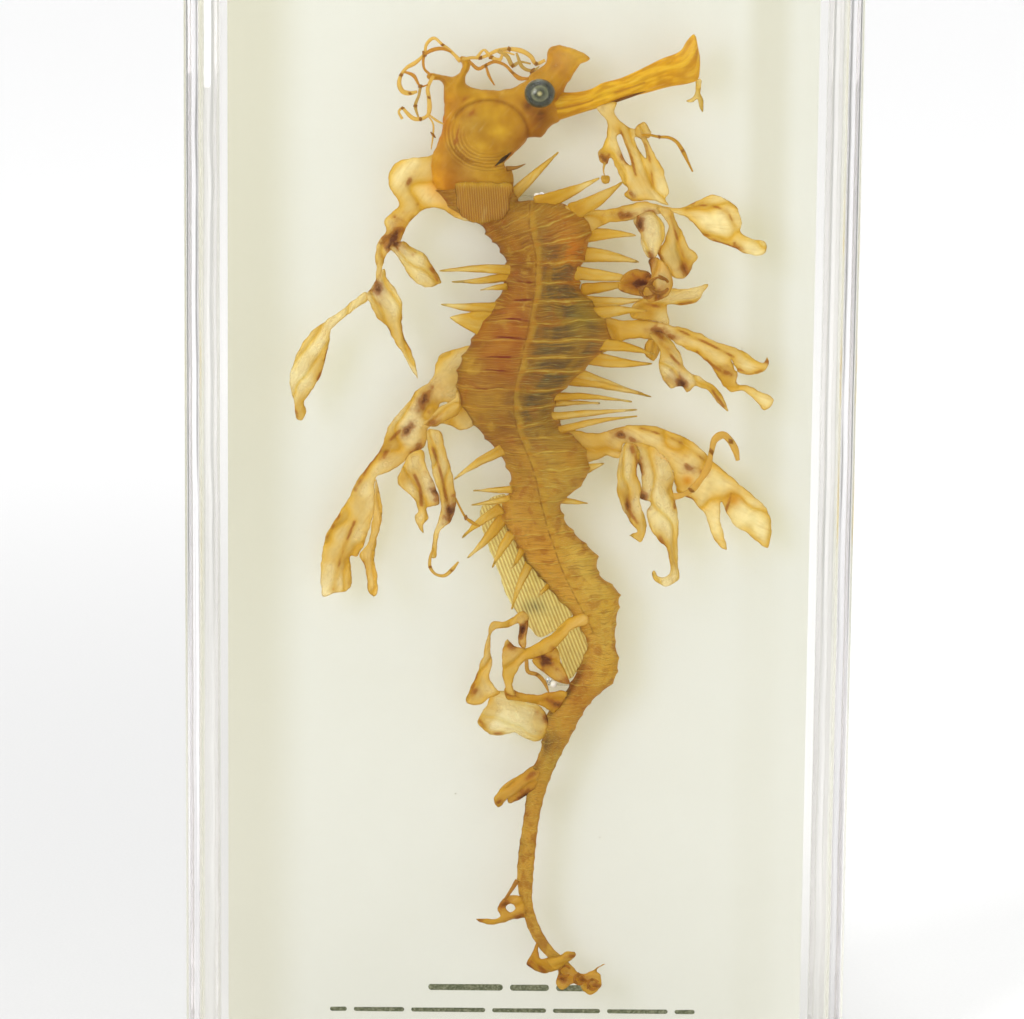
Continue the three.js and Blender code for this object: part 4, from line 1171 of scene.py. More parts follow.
    lip = [(48, 306.5), (48, 303.5), (47.2, 301.6), (45.5, 300.5), (47.5, 300.3), (48.5, 301),
           (49.2, 298.5), (50.2, 297.3), (50.2, 300.5), (49.4, 303), (49.4, 306.5)]
    leaf(head, lip, 15.5, STRAW, 0.5, step=0.5, ripple=0.3)
    finish_tissue(head, "seadragon_head", flesh_look)


def build_eye():
    """A round eye: dark ring, clouded inner ring and pale middle."""
    x, y, z, radius, turns = 4.6, 9.6, 302.4, 4.3, 56
    eye = Tissue()
    profile = [(0.01, 0.0), (0.06, 0.02), (0.16, 0.03), (0.2, 0.12), (0.3, 0.16), (0.42, 0.2), (0.52, 0.24),
               (0.58, 0.34), (0.72, 0.45), (0.86, 0.62), (0.95, 0.8), (1.0, 1.05), (1.0, 1.5)]
    colours = [srgb(196, 184, 120), srgb(186, 174, 112), srgb(120, 118, 70), srgb(54, 56, 34),
               srgb(56, 58, 38), srgb(92, 96, 66), srgb(108, 110, 78), srgb(50, 52, 36), srgb(40, 44, 34),
               srgb(54, 58, 42), srgb(86, 80, 46), srgb(150, 112, 48), srgb(170, 120, 46)]
    angle = np.linspace(0, 2 * math.pi, turns, endpoint=False)
    rings = [np.column_stack([x + radius * r * np.cos(angle), np.full(turns, y - 2.0 + 2.6 * d),
                              z + radius * 0.94 * r * np.sin(angle)]) for r, d in profile]
    points, faces = rings_mesh(rings, first_cap=True)
    tint = np.repeat(np.array(colours), turns, axis=0)
    tint *= 1 + 0.12 * fractal(points, 1.6, 3, 2)[:, None]
    eye.add(points, faces, tint)
    finish_tissue(eye, "seadragon_eye", eye_material())


def finish_tissue(tissue, name, look):
    tissue.build(name, look)


def filament(tissue, line, depth=12.0, radius=0.5, colour=STRAW, swing=1.0, seed=1):
    """A curling thread of skin along (x, z) points."""
    stream = np.random.default_rng(seed)
    places = np.array(line, float)
    depths = depth + np.cumsum(stream.uniform(-swing, swing, len(places)))
    depths = np.clip(depths, 7, PLATE_FRONT - 2)
    knots = stream.uniform(0.55, 1.15, len(places)) * radius
    knots[-1] *= 0.6
    tube(tissue, np.column_stack([places[:, 0], depths, places[:, 1]]), knots, colour, sides=8, flat=0.7,
         film=0.3)
    for x, depth, z in np.column_stack([places[:, 0], depths, places[:, 1]])[2:-1:3]:
        lean = stream.uniform(-0.8, 0.8, 2)
        knob = [(x - lean[0], depth - 0.1, z - lean[1]), (x, depth - 0.2, z),
                (x + lean[0], depth - 0.1, z + lean[1])]
        tube(tissue, knob, [0.15, 1.15 * radius, 0.15], srgb(150, 96, 36), sides=8, flat=0.8, film=0.1)


def build_crest(look):
    """The tangle of thin curled skin threads on top of the head."""
    crest = Tissue()
    pale, dull, rich = srgb(222, 180, 104), srgb(196, 158, 92), srgb(198, 138, 52)
    filament(crest, [(-17.5, 311), (-20, 313.5), (-22.5, 315.5), (-25, 317.3), (-27, 315.5), (-27.5, 313),
                     (-30, 310.5), (-32.5, 309), (-34, 307), (-34.5, 304.5), (-33.5, 302.5), (-31.5, 302),
                     (-29.5, 302.5)], 13, 0.62, pale, seed=1)
    filament(crest, [(-25.5, 307), (-27.5, 309), (-27.5, 312.5), (-25.5, 314), (-22.5, 314.5),
                     (-20, 313.5)], 11, 0.6, rich, seed=2)
    filament(crest, [(-25, 307), (-26.5, 303.5), (-26.2, 301), (-26, 298), (-26.5, 296), (-28.5, 295),
                     (-30.5, 295.2), (-32.5, 297), (-33.5, 298), (-34.5, 297), (-33.5, 295)], 12, 0.62,
             pale, seed=3)
    filament(crest, [(-28.5, 304.5), (-29, 301.5), (-30, 298.5), (-29, 295)], 13, 0.5, dull, seed=4)
    filament(crest, [(-26.5, 296), (-25, 293.5), (-25, 290.5), (-25.5, 286.5)], 14, 0.35, pale, 0.4, seed=5)
    filament(crest, [(-26, 296), (-24, 294.5), (-22, 293.5)], 14, 0.32, pale, 0.4, seed=6)
    filament(crest, [(-17, 311.5), (-14.5, 312), (-12, 312), (-9.5, 313), (-7.5, 314), (-4, 314.5),
                     (-0.5, 314), (2, 312.5), (3.5, 310.5), (6, 311.5)], 12, 0.62, pale, seed=7)
    filament(crest, [(-15, 311), (-12.5, 309), (-10.5, 310), (-8, 311), (-5, 310), (-3, 308), (-1, 306.5),
                     (1.5, 306.5)], 10.5, 0.65, rich, seed=8)
    filament(crest, [(-7, 314), (-4.5, 312.5), (-3, 310), (-1, 311), (2, 310.5)], 11, 0.55, dull, seed=9)
    filament(crest, [(-10.5, 310), (-9.5, 307), (-8, 304.5)], 11, 0.5, rich, seed=10)
    filament(crest, [(-33, 308), (-30.5, 307), (-28.5, 304), (-26.5, 304.5)], 11.5, 0.5, rich, seed=11)
    filament(crest, [(-13, 312), (-11, 314.2), (-9, 312.2), (-6.5, 311.6), (-5.5, 313.6), (-2.5, 313)],
             12.5, 0.5, pale, seed=12)
    filament(crest, [(-2, 313.5), (-0.2, 309.5), (2.5, 308.6), (4.4, 309.8)], 10.5, 0.5, dull, seed=13)
    finish_tissue(crest, "seadragon_crest", look)


def spine(tissue, root_x, root_z, tip_x, tip_z, half, seed):
    """A flattened, slightly curved blade of a spine."""
    stream = np.random.default_rng(seed)
    root, tip = np.array([root_x, root_z]), np.array([tip_x, tip_z])
    run = tip - root
    length = np.linalg.norm(run)
    normal = np.array([-run[1], run[0]]) / length
    bow = stream.uniform(-0.05, 0.05) * length
    shares = np.linspace(0, 1, 7)
    middle = root + shares[:, None] * run + (bow * np.sin(math.pi * shares))[:, None] * normal
    widths = half * (1.35 - 1.3 * shares) ** 0.8 * (1 + 0.25 * np.sin(math.pi * shares))
    widths[-1] = 0.12
    outline = np.vstack([middle + widths[:, None] * normal, (middle - widths[:, None] * normal)[::-1]])
    depth = BODY_DEPTH - 1.5 + stream.uniform(-2.5, 1.5)
    colour = STRAW + stream.uniform(0.55, 1.0) * (AMBER - STRAW)
    leaf(tissue, outline, depth, colour, 0.9,
         blobs=[(tip_x, tip_z, 0.3 * length, STRAW, 0.6), (root_x, root_z, 0.35 * length, DEEP, 0.55)],
         film=0.5, edge=0.5, rim=max(0.8, half * 0.8), ripple=0.35, seed=seed, cup=0.5, fold=0.3, ragged=0.12)


def build_spines(look):
    spines = Tissue()
    for number, (root_x, root_z, tip_x, tip_z, half) in enumerate(SPINES):
        spine(spines, root_x, root_z, tip_x, tip_z, half, number + 1)
    finish_tissue(spines, "seadragon_spines", look)


def build_neck(look):
    """The lobed skin flag behind the neck and the three leaves that hang from it."""
    neck = Tissue()
    leaf(neck, [(-21.5, 286.5), (-26, 284.5), (-31, 284), (-34.5, 283), (-36.5, 281), (-37.5, 278.5),
                (-37, 275.5), (-34.5, 271), (-36.5, 268.5), (-38.5, 266.5), (-38, 263.5), (-40, 261),
                (-41, 256.5), (-40.5, 252.5), (-42, 247.5), (-43.5, 245), (-41.5, 246.5), (-39.5, 250.5),
                (-38.5, 255), (-36.5, 258.5), (-34, 260.5), (-33, 263.5), (-30.5, 267), (-27.5, 269.5),
                (-23.5, 270), (-17, 266.8), (-13, 266.2), (-16, 272), (-19.5, 279)], 16,
         srgb(236, 196, 108), 0.8, spots=[(-36, 261.5, 2.2), (-40, 247.6, 1.7), (-31.5, 277.6, 0.6)],
         blobs=[(-23, 276, 6, srgb(222, 146, 40), 0.95), (-33, 265, 4, srgb(220, 152, 50), 0.8),
                (-39, 255, 3.5, OCHRE, 0.6), (-32, 279, 4, srgb(240, 206, 126), 0.7),
                (-26, 266, 3, srgb(238, 200, 110), 0.6), (-19, 270, 4, srgb(214, 142, 44), 0.9),
                (-29, 283, 3, srgb(238, 210, 136), 0.6)], rim=2.0, film=0.55, edge=0.3, step=0.8)
    leaf(neck, [(-37, 259), (-34, 260.8), (-30.5, 259.2), (-27.5, 257.5), (-25, 254), (-22.8, 250.3),
                (-22.5, 249.2), (-25, 248), (-28.5, 248.5), (-31, 250.5), (-33, 253.5), (-34.8, 256.5)], 14,
         srgb(238, 212, 144), 0.5, spots=[(-35.5, 260.5, 1.6)],
         streaks=[(0.7, [(-25.2, 253.2), (-23.4, 250)])], blobs=[(-26, 255, 2.5, OCHRE, 0.6),
                                                                 (-27, 248.6, 1.5, DEEP, 0.5)], seed=21)
    leaf(neck, [(-42, 248), (-40, 251), (-38.5, 253), (-37.5, 250), (-35, 247), (-33.5, 243.5),
                (-33.5, 239), (-33, 234.5), (-31, 230.5), (-29.5, 227), (-28.8, 222.3), (-31, 225.5),
                (-32.5, 228), (-34, 230.5), (-36, 233.5), (-37.5, 236.5), (-39.5, 238.5), (-41, 240.5),
                (-42.5, 243.5), (-43.5, 245)], 13.5, srgb(234, 200, 120), 0.5, spots=[(-40.2, 247.2, 1.4)],
         streaks=[(0.5, [(-33.6, 239), (-33, 234.5), (-31, 230.5)]), (0.4, [(-40, 238.6), (-37, 235.4)])],
         blobs=[(-36.5, 249, 3, OCHRE, 0.6), (-37.5, 241, 3, PALE, 0.6)], seed=22)
    leaf(neck, [(-43.5, 246.3), (-47.5, 243.6), (-51.5, 240.6), (-55, 238), (-58.5, 235.2), (-61.5, 231.5),
                (-63.5, 227), (-65, 222), (-64.5, 218), (-63.5, 214.5), (-63, 210.5), (-61.5, 210),
                (-60.3, 212.5), (-61, 215), (-59, 218), (-56.5, 222), (-55, 226.5), (-54, 231),
                (-53.5, 235), (-51, 238), (-47, 241.2), (-43, 244)], 15, srgb(238, 208, 134), 0.5,
         streaks=[(0.45, [(-54, 230), (-55, 226.5), (-57, 221.6)]), (0.5, [(-63.4, 213.5), (-62.6, 210.6)]),
                  (0.35, [(-60.8, 212.4), (-61.2, 215)])], blobs=[(-60, 224, 4, PALE, 0.7),
                                                                  (-55, 236, 3, AMBER, 0.5)], seed=23)
    finish_tissue(neck, "seadragon_neck_fronds", look)


def build_flank(look):
    """The big hanging frond on the back's side."""
    flank = Tissue()
    leaf(flank, [(-12, 231), (-19.5, 230), (-22.5, 228.8), (-24, 226), (-24.5, 222.5), (-27, 220),
                 (-29.5, 218.5), (-30.5, 216.5), (-33, 213.5), (-36, 210), (-38, 206), (-39.5, 201.5),
                 (-42, 198), (-46, 192.5), (-48.5, 187.5), (-51.5, 182.5), (-54.5, 177.5), (-55.5, 173.5),
                 (-56, 169), (-56, 163), (-55.5, 159.5), (-52, 160.5), (-49, 161), (-47.5, 163),
                 (-47.5, 171), (-46, 171), (-44, 174.5), (-42, 180.5), (-41, 185.5), (-40.5, 193.5),
                 (-36.5, 195.5), (-33, 198), (-30.5, 200.5), (-27.5, 202), (-26, 205), (-26, 207.5),
                 (-24, 209), (-21, 209), (-16.5, 207.5), (-11, 210.5), (-11, 218)], 17.5,
         srgb(232, 190, 100), 0.8, spots=[(-27, 215.8, 1.5), (-31.5, 207.5, 1.3), (-38, 200.5, 0.8),
                                          (-29, 201.5, 1.2)],
         streaks=[(0.6, [(-26.4, 217.5), (-27.4, 213.4)]), (0.5, [(-50.8, 183), (-54.6, 176)]),
                  (0.4, [(-48.2, 163), (-48, 170)]), (0.5, [(-34, 207), (-41, 199.5), (-46.5, 190)]),
                  (0.35, [(-52.5, 161.5), (-50, 172), (-46.6, 181)])],
         blobs=[(-18, 222, 6, srgb(196, 146, 62), 0.8), (-24, 219, 4, srgb(216, 156, 56), 0.7),
                (-34, 203, 5, srgb(228, 172, 74), 0.6), (-43, 191, 5, srgb(226, 186, 108), 0.7),
                (-52, 168, 5, srgb(216, 172, 90), 0.8), (-49, 180, 4, srgb(236, 206, 140), 0.6),
                (-14, 213, 5, srgb(190, 138, 62), 0.8)], rim=2.2, step=0.9,
         holes=[[(-22.6, 214.8), (-20.6, 215.2), (-20.8, 212.6), (-21.6, 210.9), (-23.2, 211.2),
                 (-23, 213)]], seed=24)
    leaf(flank, [(-40.5, 193.5), (-39, 187.5), (-38.5, 183.5), (-39.5, 179), (-40.5, 174.5), (-40.8, 171),
                 (-40, 166), (-40, 161), (-41, 160), (-42.5, 161.5), (-43, 166), (-44, 169.5), (-45.2, 172),
                 (-43, 174.5), (-41.5, 181.5), (-40.8, 187.5)], 14, srgb(224, 172, 80), 0.45,
         streaks=[(0.35, [(-44, 170), (-42.9, 163)])], seed=25)
    leaf(flank, [(-31, 201), (-33, 197), (-34.5, 194), (-34, 192), (-32.5, 190.5), (-30.5, 189), (-29, 187),
                 (-28.5, 184.5), (-29.5, 183.5), (-28.5, 180.5), (-27, 178.5), (-27, 181), (-25.5, 183),
                 (-26, 185.5), (-24.5, 186), (-22.5, 186.5), (-22.5, 188.5), (-23.5, 191), (-25, 195),
                 (-26.5, 198.5), (-27.5, 202)], 12.5, srgb(232, 186, 92), 0.5, spots=[(-23.5, 190, 1.3)],
         streaks=[(0.6, [(-29.6, 195), (-28, 191), (-27.6, 186.5)])], blobs=[(-32.5, 194, 2.5, DEEP, 0.6),
                                                                             (-26, 191, 3, PALE, 0.5)],
         seed=26)
    leaf(flank, [(-26, 208), (-26, 203.5), (-25, 198.5), (-24, 193.5), (-22.5, 189), (-22, 185.5),
                 (-23, 182), (-24, 178.5), (-24.5, 175), (-25, 171.5), (-23.5, 171.5), (-23, 175),
                 (-22.5, 178.5), (-21, 180.5), (-19.5, 181.5), (-18, 184.5), (-18, 188.5), (-18.5, 193.5),
                 (-19.5, 197.5), (-21, 202.5), (-22.5, 207.5)], 11.5, srgb(226, 188, 112), 0.5,
         spots=[(-19.4, 184.6, 1.7)], streaks=[(0.4, [(-24.6, 203), (-22, 195), (-20.6, 188)])],
         blobs=[(-21, 190, 3, srgb(204, 166, 98), 0.6), (-24, 176, 3, OCHRE, 0.8)], seed=27)
    filament(flank, [(-24.2, 174), (-25, 171.5), (-25, 169), (-23.5, 167), (-21, 166.5), (-19, 168),
                     (-17, 170.5)], 11, 0.55, OCHRE, 0.5, seed=30)
    filament(flank, [(-18, 188.5), (-16.5, 185.5), (-15, 183), (-13, 181.5), (-11, 180.5)], 12, 0.5, AMBER,
             0.5, seed=31)
    leaf(flank, [(-17.5, 219), (-19, 216.5), (-23, 213.8), (-25.5, 211), (-27, 209.5), (-24, 208.6),
                 (-21, 210.2), (-17, 213)], 13, srgb(208, 162, 84), 0.8, spots=[(-24.6, 209.9, 0.8)],
         rim=1.6, film=0.4, seed=28)
    finish_tissue(flank, "seadragon_flank_fronds", look)


def build_chin(look):
    """The branching frond that hangs from the snout."""
    chin = Tissue()
    leaf(chin, [(20.5, 298.4), (23, 295.5), (23.5, 292), (22.5, 288), (21, 286), (21.5, 283.7), (23.5, 283),
                (24.5, 284.5), (26, 282), (28, 278), (29.5, 276), (28.5, 274.5), (30.5, 273), (33, 272.5),
                (36.5, 273), (41, 271.5), (40, 273.5), (41, 275), (40, 279), (38.5, 283), (36.5, 286.5),
                (35, 289.5), (33, 292), (30, 293), (27, 295), (25.5, 297.5), (26, 300), (23, 299.8)], 14,
         srgb(226, 186, 100), 0.7, spots=[(23, 284.2, 1.1), (27.8, 284.8, 0.8), (30.4, 274.6, 0.7)],
         streaks=[(0.35, [(26.6, 293), (29.6, 287), (31.6, 280)]),
                  (0.3, [(33.6, 291), (35.5, 284), (36.5, 277)])],
         blobs=[(24, 290, 3, srgb(228, 196, 118), 0.7), (34, 278, 4, srgb(198, 144, 62), 0.7),
                (30, 290, 3, OCHRE, 0.6)], holes=[[(26.2, 290.6), (27.2, 291.2), (28.4, 288.6),
                                                   (29.6, 285.6), (30.3, 282.6), (29, 283.4),
                                                   (27.4, 286.6)], [(31.2, 290.4), (32.6, 290.2),
                                                                    (34, 287.4), (34.4, 284.6),
                                                                    (33.2, 285.8), (31.8, 288.2)]], rim=1.5,
         film=0.6, step=0.7, seed=32)
    leaf(chin, [(31, 291.5), (32.5, 294.2), (33.8, 294.8), (35.8, 292.2), (35.5, 290.5), (33, 290)], 12.5,
         OCHRE, 0.4, step=0.6, seed=33)
    leaf(chin, [(22.1, 279.8), (24.2, 279.6), (24.1, 277.6), (22.2, 277.8)], 13, AMBER, 0.4, step=0.5,
         ripple=0.1, seed=34)
    filament(chin, [(23, 283.4), (22.6, 281.5), (22.9, 279.5)], 13, 0.4, OCHRE, 0.3, seed=35)
    filament(chin, [(33, 291), (35.4, 291.1), (38, 290.6), (40.5, 290.5), (42.8, 289.3), (44.6, 286.8),
                    (46, 284), (47.5, 281)], 13, 0.55, AMBER, 0.6, seed=36)
    finish_tissue(chin, "seadragon_chin_fronds", look)


def build_arm(look):
    """The chest arm with its pale end leaf and the leaves that hang from it."""
    arm = Tissue()
    leaf(arm, [(12, 271), (20, 270), (25, 270.5), (29.5, 271.5), (33, 272.5), (37, 272), (41, 271),
               (45.5, 271), (49.5, 273), (53.5, 274.5), (57.5, 273), (60.5, 270.5), (61.5, 267),
               (61.5, 264), (64.5, 262.5), (68, 261.5), (68.5, 259.5), (67.5, 258), (64, 258), (60, 259.5),
               (56, 261), (53, 262), (50.5, 263.5), (48.5, 266), (45.5, 268.5), (41, 269.5), (37, 269),
               (33, 268), (28.5, 267), (24.5, 266.5), (21.5, 265), (17, 262), (15, 259)], 14.5,
         srgb(228, 184, 92), 0.8, spots=[(29, 268.5, 1.2), (36, 269.5, 0.9), (60, 259.8, 0.8),
                                         (47.6, 272.4, 0.5)],
         streaks=[(0.5, [(51, 263.6), (56, 260.9), (60, 259.8)]), (0.3, [(46, 270.4), (51, 271.6),
                                                                         (57, 270), (59.4, 266)])],
         blobs=[(55, 267, 4.5, srgb(238, 208, 136), 0.9), (66, 260, 3, srgb(234, 210, 150), 0.7),
                (20, 267, 6, srgb(190, 138, 60), 0.8), (49, 270, 3, srgb(226, 172, 72), 0.6)], rim=1.8,
         film=0.6, seed=37)
    leaf(arm, [(34, 269.5), (31, 267.5), (33, 263.5), (33.5, 259.5), (35.5, 257), (37, 256.5),
               (38.5, 259.5), (40, 263), (39.5, 266.5), (37, 269.5)], 11.5, srgb(232, 198, 118), 0.45,
         spots=[(33, 266.4, 1.5), (36.5, 256.8, 0.9)], blobs=[(35.5, 263, 2.5, PALE, 0.6)], seed=38)
    leaf(arm, [(37.5, 271), (41, 266), (40, 262), (38, 258.5), (39.5, 255), (42, 252), (45.5, 251),
               (47, 252.5), (48, 255), (49.5, 257), (48, 259), (46.5, 260), (45, 264), (43, 267.5),
               (41.5, 270.5)], 13.2, srgb(214, 172, 98), 0.5,
         spots=[(38.2, 257.4, 0.9), (45.6, 253.8, 1.0)], streaks=[(0.4, [(40.2, 262), (38.4, 258.8)]),
                                                                  (0.3,
                                                                   [(41.4, 269), (43.6, 262),
                                                                    (45.8, 256)])],
         blobs=[(43, 258, 3, srgb(182, 146, 92), 0.8), (46, 255, 2.5, DEEP, 0.7)], seed=39)
    leaf(arm, [(34, 247), (36.5, 252), (35.5, 256), (37.5, 257), (41, 254), (42.5, 250), (41, 246.5),
               (38.5, 245), (36, 244.5)], 10.5, srgb(206, 150, 74), 0.5,
         spots=[(35.6, 254.6, 1.6), (38.4, 246, 1.2)], blobs=[(39, 251, 2.2, srgb(204, 172, 124), 0.7)],
         seed=40)
    leaf(arm, [(30.5, 253.4), (36, 252.6), (38, 250), (36, 246.2), (31, 246.4), (27, 248.5)], 12.5,
         srgb(178, 112, 42), 0.5, spots=[(33.5, 249.6, 2.2), (35.4, 251.6, 1.2)], film=0.4, seed=41)
    leaf(arm, [(33.5, 245), (39, 247.6), (42, 248.3), (46, 248), (49, 248.5), (52.5, 249.5), (50.5, 246),
               (49.5, 244.5), (44.5, 243.5), (41, 243.5), (41.5, 238), (37.5, 239), (31, 240), (31, 243)],
         14.5, srgb(222, 178, 92), 0.6, streaks=[(0.3, [(44, 243.7), (49.4, 244.6)]),
                                                 (0.5, [(34, 244), (39, 243)])],
         blobs=[(36, 241, 3, srgb(170, 110, 44), 0.7)], seed=42)
    for radius, x, z, seed in ((2.6, 38.6, 249.4, 43), (1.9, 35.3, 247.6, 44)):
        turns = np.linspace(0.4, 5.9, 12)
        loop = np.column_stack([x + radius * np.cos(turns), z + radius * 0.85 * np.sin(turns)])
        filament(arm, loop, 9.5, 0.55, srgb(164, 108, 48), 0.4, seed)
    finish_tissue(arm, "seadragon_arm_fronds", look)


def build_belly(look):
    belly = Tissue()
    leaf(belly, [(20, 241), (28, 239), (33.5, 239.4), (37, 239), (41.5, 238), (46, 237), (50.5, 235.5),
                 (54.5, 233.5), (59, 232), (63, 230.5), (66.5, 228), (68.5, 227.6), (69.4, 229.4),
                 (69.6, 226.5), (67.5, 224.5), (64.5, 224), (61, 225), (59.3, 228.3), (61, 224.5),
                 (61, 221.5), (64, 221), (66.5, 219.7), (71.5, 217), (69, 213.8), (67.5, 215.5), (65, 218),
                 (62.5, 219.3), (59.5, 219), (57.5, 220.5), (55, 224.5), (52.5, 227.5), (50, 229.5),
                 (47, 231), (44, 232.5), (41.5, 234), (37.5, 233.5), (33.5, 234), (29.5, 233.5),
                 (25.5, 231), (21, 229)], 15.5, srgb(222, 174, 84), 0.8, spots=[(38.8, 236, 1.3),
                                                                                (42.5, 234.6, 0.9),
                                                                                (58, 224.6, 0.9),
                                                                                (69.4, 227.8, 0.6)],
         streaks=[(0.4, [(49.6, 230.4), (54.6, 226.2), (57.6, 224.2)]),
                  (0.3, [(44, 236.6), (53, 232.6), (60, 229)]),
                  (0.35, [(61.4, 225.6), (64.6, 224.3), (68, 225.3)])],
         blobs=[(63, 227.5, 3, srgb(236, 204, 130), 0.8), (68, 216.6, 3, srgb(236, 204, 136), 0.8),
                (58, 222, 3, srgb(206, 150, 62), 0.7), (26, 236, 6, srgb(196, 140, 60), 0.8)], rim=1.8,
         film=0.55, seed=45)
    leaf(belly, [(36, 235.5), (39, 231), (39, 226.5), (40, 222.5), (42.5, 220), (45.5, 220.8), (47, 219),
                 (49, 221), (51, 220.5), (53.5, 219), (55.5, 216.5), (58.5, 214), (57.5, 217), (55, 220.5),
                 (52, 222.5), (50.5, 223.5), (48.5, 224.3), (46, 226.5), (44.5, 230.5), (41.5, 234.4),
                 (38.5, 236)], 12.5, srgb(228, 190, 108), 0.5,
         spots=[(45.2, 221.8, 1.6), (38.8, 235.2, 1.0)], streaks=[(0.35, [(54, 219.6), (57.6, 215)]),
                                                                  (0.4,
                                                                   [(39.6, 233), (43, 228.6),
                                                                    (45.8, 226)])],
         blobs=[(41.5, 226, 3, srgb(226, 200, 136), 0.8)], seed=46)
    leaf(belly, [(37.5, 235), (39.2, 231), (37.6, 227.6), (35.4, 229), (35.2, 232.6)], 16,
         srgb(204, 152, 66), 0.5, seed=47)
    finish_tissue(belly, "seadragon_belly_fronds", look)


def build_hip(look):
    """The wide frond at the hip, its two hanging leaves and its curled thread."""
    hip = Tissue()
    leaf(hip, [(13, 207), (22.5, 207), (26, 208), (29.5, 209), (34, 209.5), (38, 209), (42.5, 207.5),
               (46.5, 206), (50, 204), (52.5, 201.5), (55, 199), (58, 196.5), (61.5, 193.5), (64.5, 191),
               (67.5, 188.5), (70, 186), (71.5, 181.5), (71.5, 178), (70.5, 174.5), (67.5, 176.5),
               (64.5, 179), (61, 181), (59, 184), (57.3, 187.5), (57, 183), (58, 178.5), (59, 174),
               (56.5, 175.5), (55, 178), (54, 180), (53, 183.5), (51, 186), (48.5, 188.5), (45, 190),
               (44, 192.5), (43.5, 196), (42, 198.5), (38, 201), (34, 203), (29.5, 204), (28.5, 200),
               (24.5, 200.5), (21, 199), (16, 198.5)], 17, srgb(228, 182, 94), 0.7,
         spots=[(28.6, 206.6, 1.2), (31.8, 205.2, 0.8), (48, 197.4, 0.9), (52, 196, 0.7)],
         streaks=[(0.3, [(34, 208.6), (44, 205.2), (53, 199)]), (0.4, [(58.6, 185), (60, 190)]),
                  (0.3, [(44, 191), (49.6, 188)])], blobs=[(66, 181, 5, srgb(242, 220, 152), 0.95),
                                                           (47.4, 193.6, 2.2, srgb(204, 120, 34), 0.8),
                                                           (60.6, 188.4, 2.4, srgb(206, 128, 38), 0.85),
                                                           (43, 202, 5, srgb(222, 166, 72), 0.8),
                                                           (56, 180, 3, srgb(236, 208, 140), 0.7),
                                                           (23, 203, 6, srgb(200, 148, 70), 0.8)], rim=1.8,
         film=0.6, seed=48)
    leaf(hip, [(29.5, 204.5), (28, 199.5), (27.5, 194), (28, 189), (29.5, 185.5), (31.5, 182),
               (33.5, 179.5), (31, 178.5), (32.5, 177.5), (34.5, 176.5), (35.5, 178.5), (36, 181),
               (35, 185), (34, 188.5), (34.5, 192.5), (33, 197), (34, 201), (32.5, 204.3)], 12,
         srgb(230, 194, 114), 0.5, spots=[(30.8, 186.6, 1.1), (31.6, 203, 0.7)],
         streaks=[(0.5, [(29, 190.5), (30.8, 186), (33.4, 182)]),
                  (0.4, [(31.8, 203.6), (33, 199.6), (33.2, 195.6)])],
         blobs=[(30.5, 196, 3, srgb(220, 190, 120), 0.7), (34, 178.4, 2, DEEP, 0.5)], seed=49)
    leaf(hip, [(31.5, 204), (34, 197), (34.5, 192.5), (34, 189), (37, 187.5), (36, 184.5), (37, 180.5),
               (39.5, 177), (41.5, 175), (42.5, 171), (43, 167.6), (41.5, 166.3), (39.5, 166.6),
               (38.3, 168), (38.3, 165.7), (40, 164.5), (42, 163.6), (44, 164.5), (45.5, 166), (45, 171),
               (45, 177), (45, 182), (44.5, 187), (43.5, 191), (43.5, 196), (41.5, 200), (36.5, 204)], 13.8,
         srgb(234, 204, 132), 0.5, spots=[(33.6, 197.8, 1.5), (35, 189.3, 1.3)],
         streaks=[(0.7, [(39.6, 178), (41.6, 174.5), (42.8, 170)]), (0.35, [(43.6, 191), (44, 186)])],
         blobs=[(38.5, 199, 4, srgb(218, 172, 88), 0.8), (41, 190, 2.6, srgb(206, 180, 130), 0.7),
                (42, 184, 3, PALE, 0.6)], seed=50)
    filament(hip, [(43.5, 189.5), (46, 190), (48.5, 191.5), (51, 194.5), (53, 198), (54, 202.5), (55, 206),
                   (57.3, 207.2), (59.4, 205.4), (60.8, 202.8), (61.5, 200)], 12, 1.05, srgb(214, 168, 88),
             0.5, seed=51)
    finish_tissue(hip, "seadragon_hip_fronds", look)


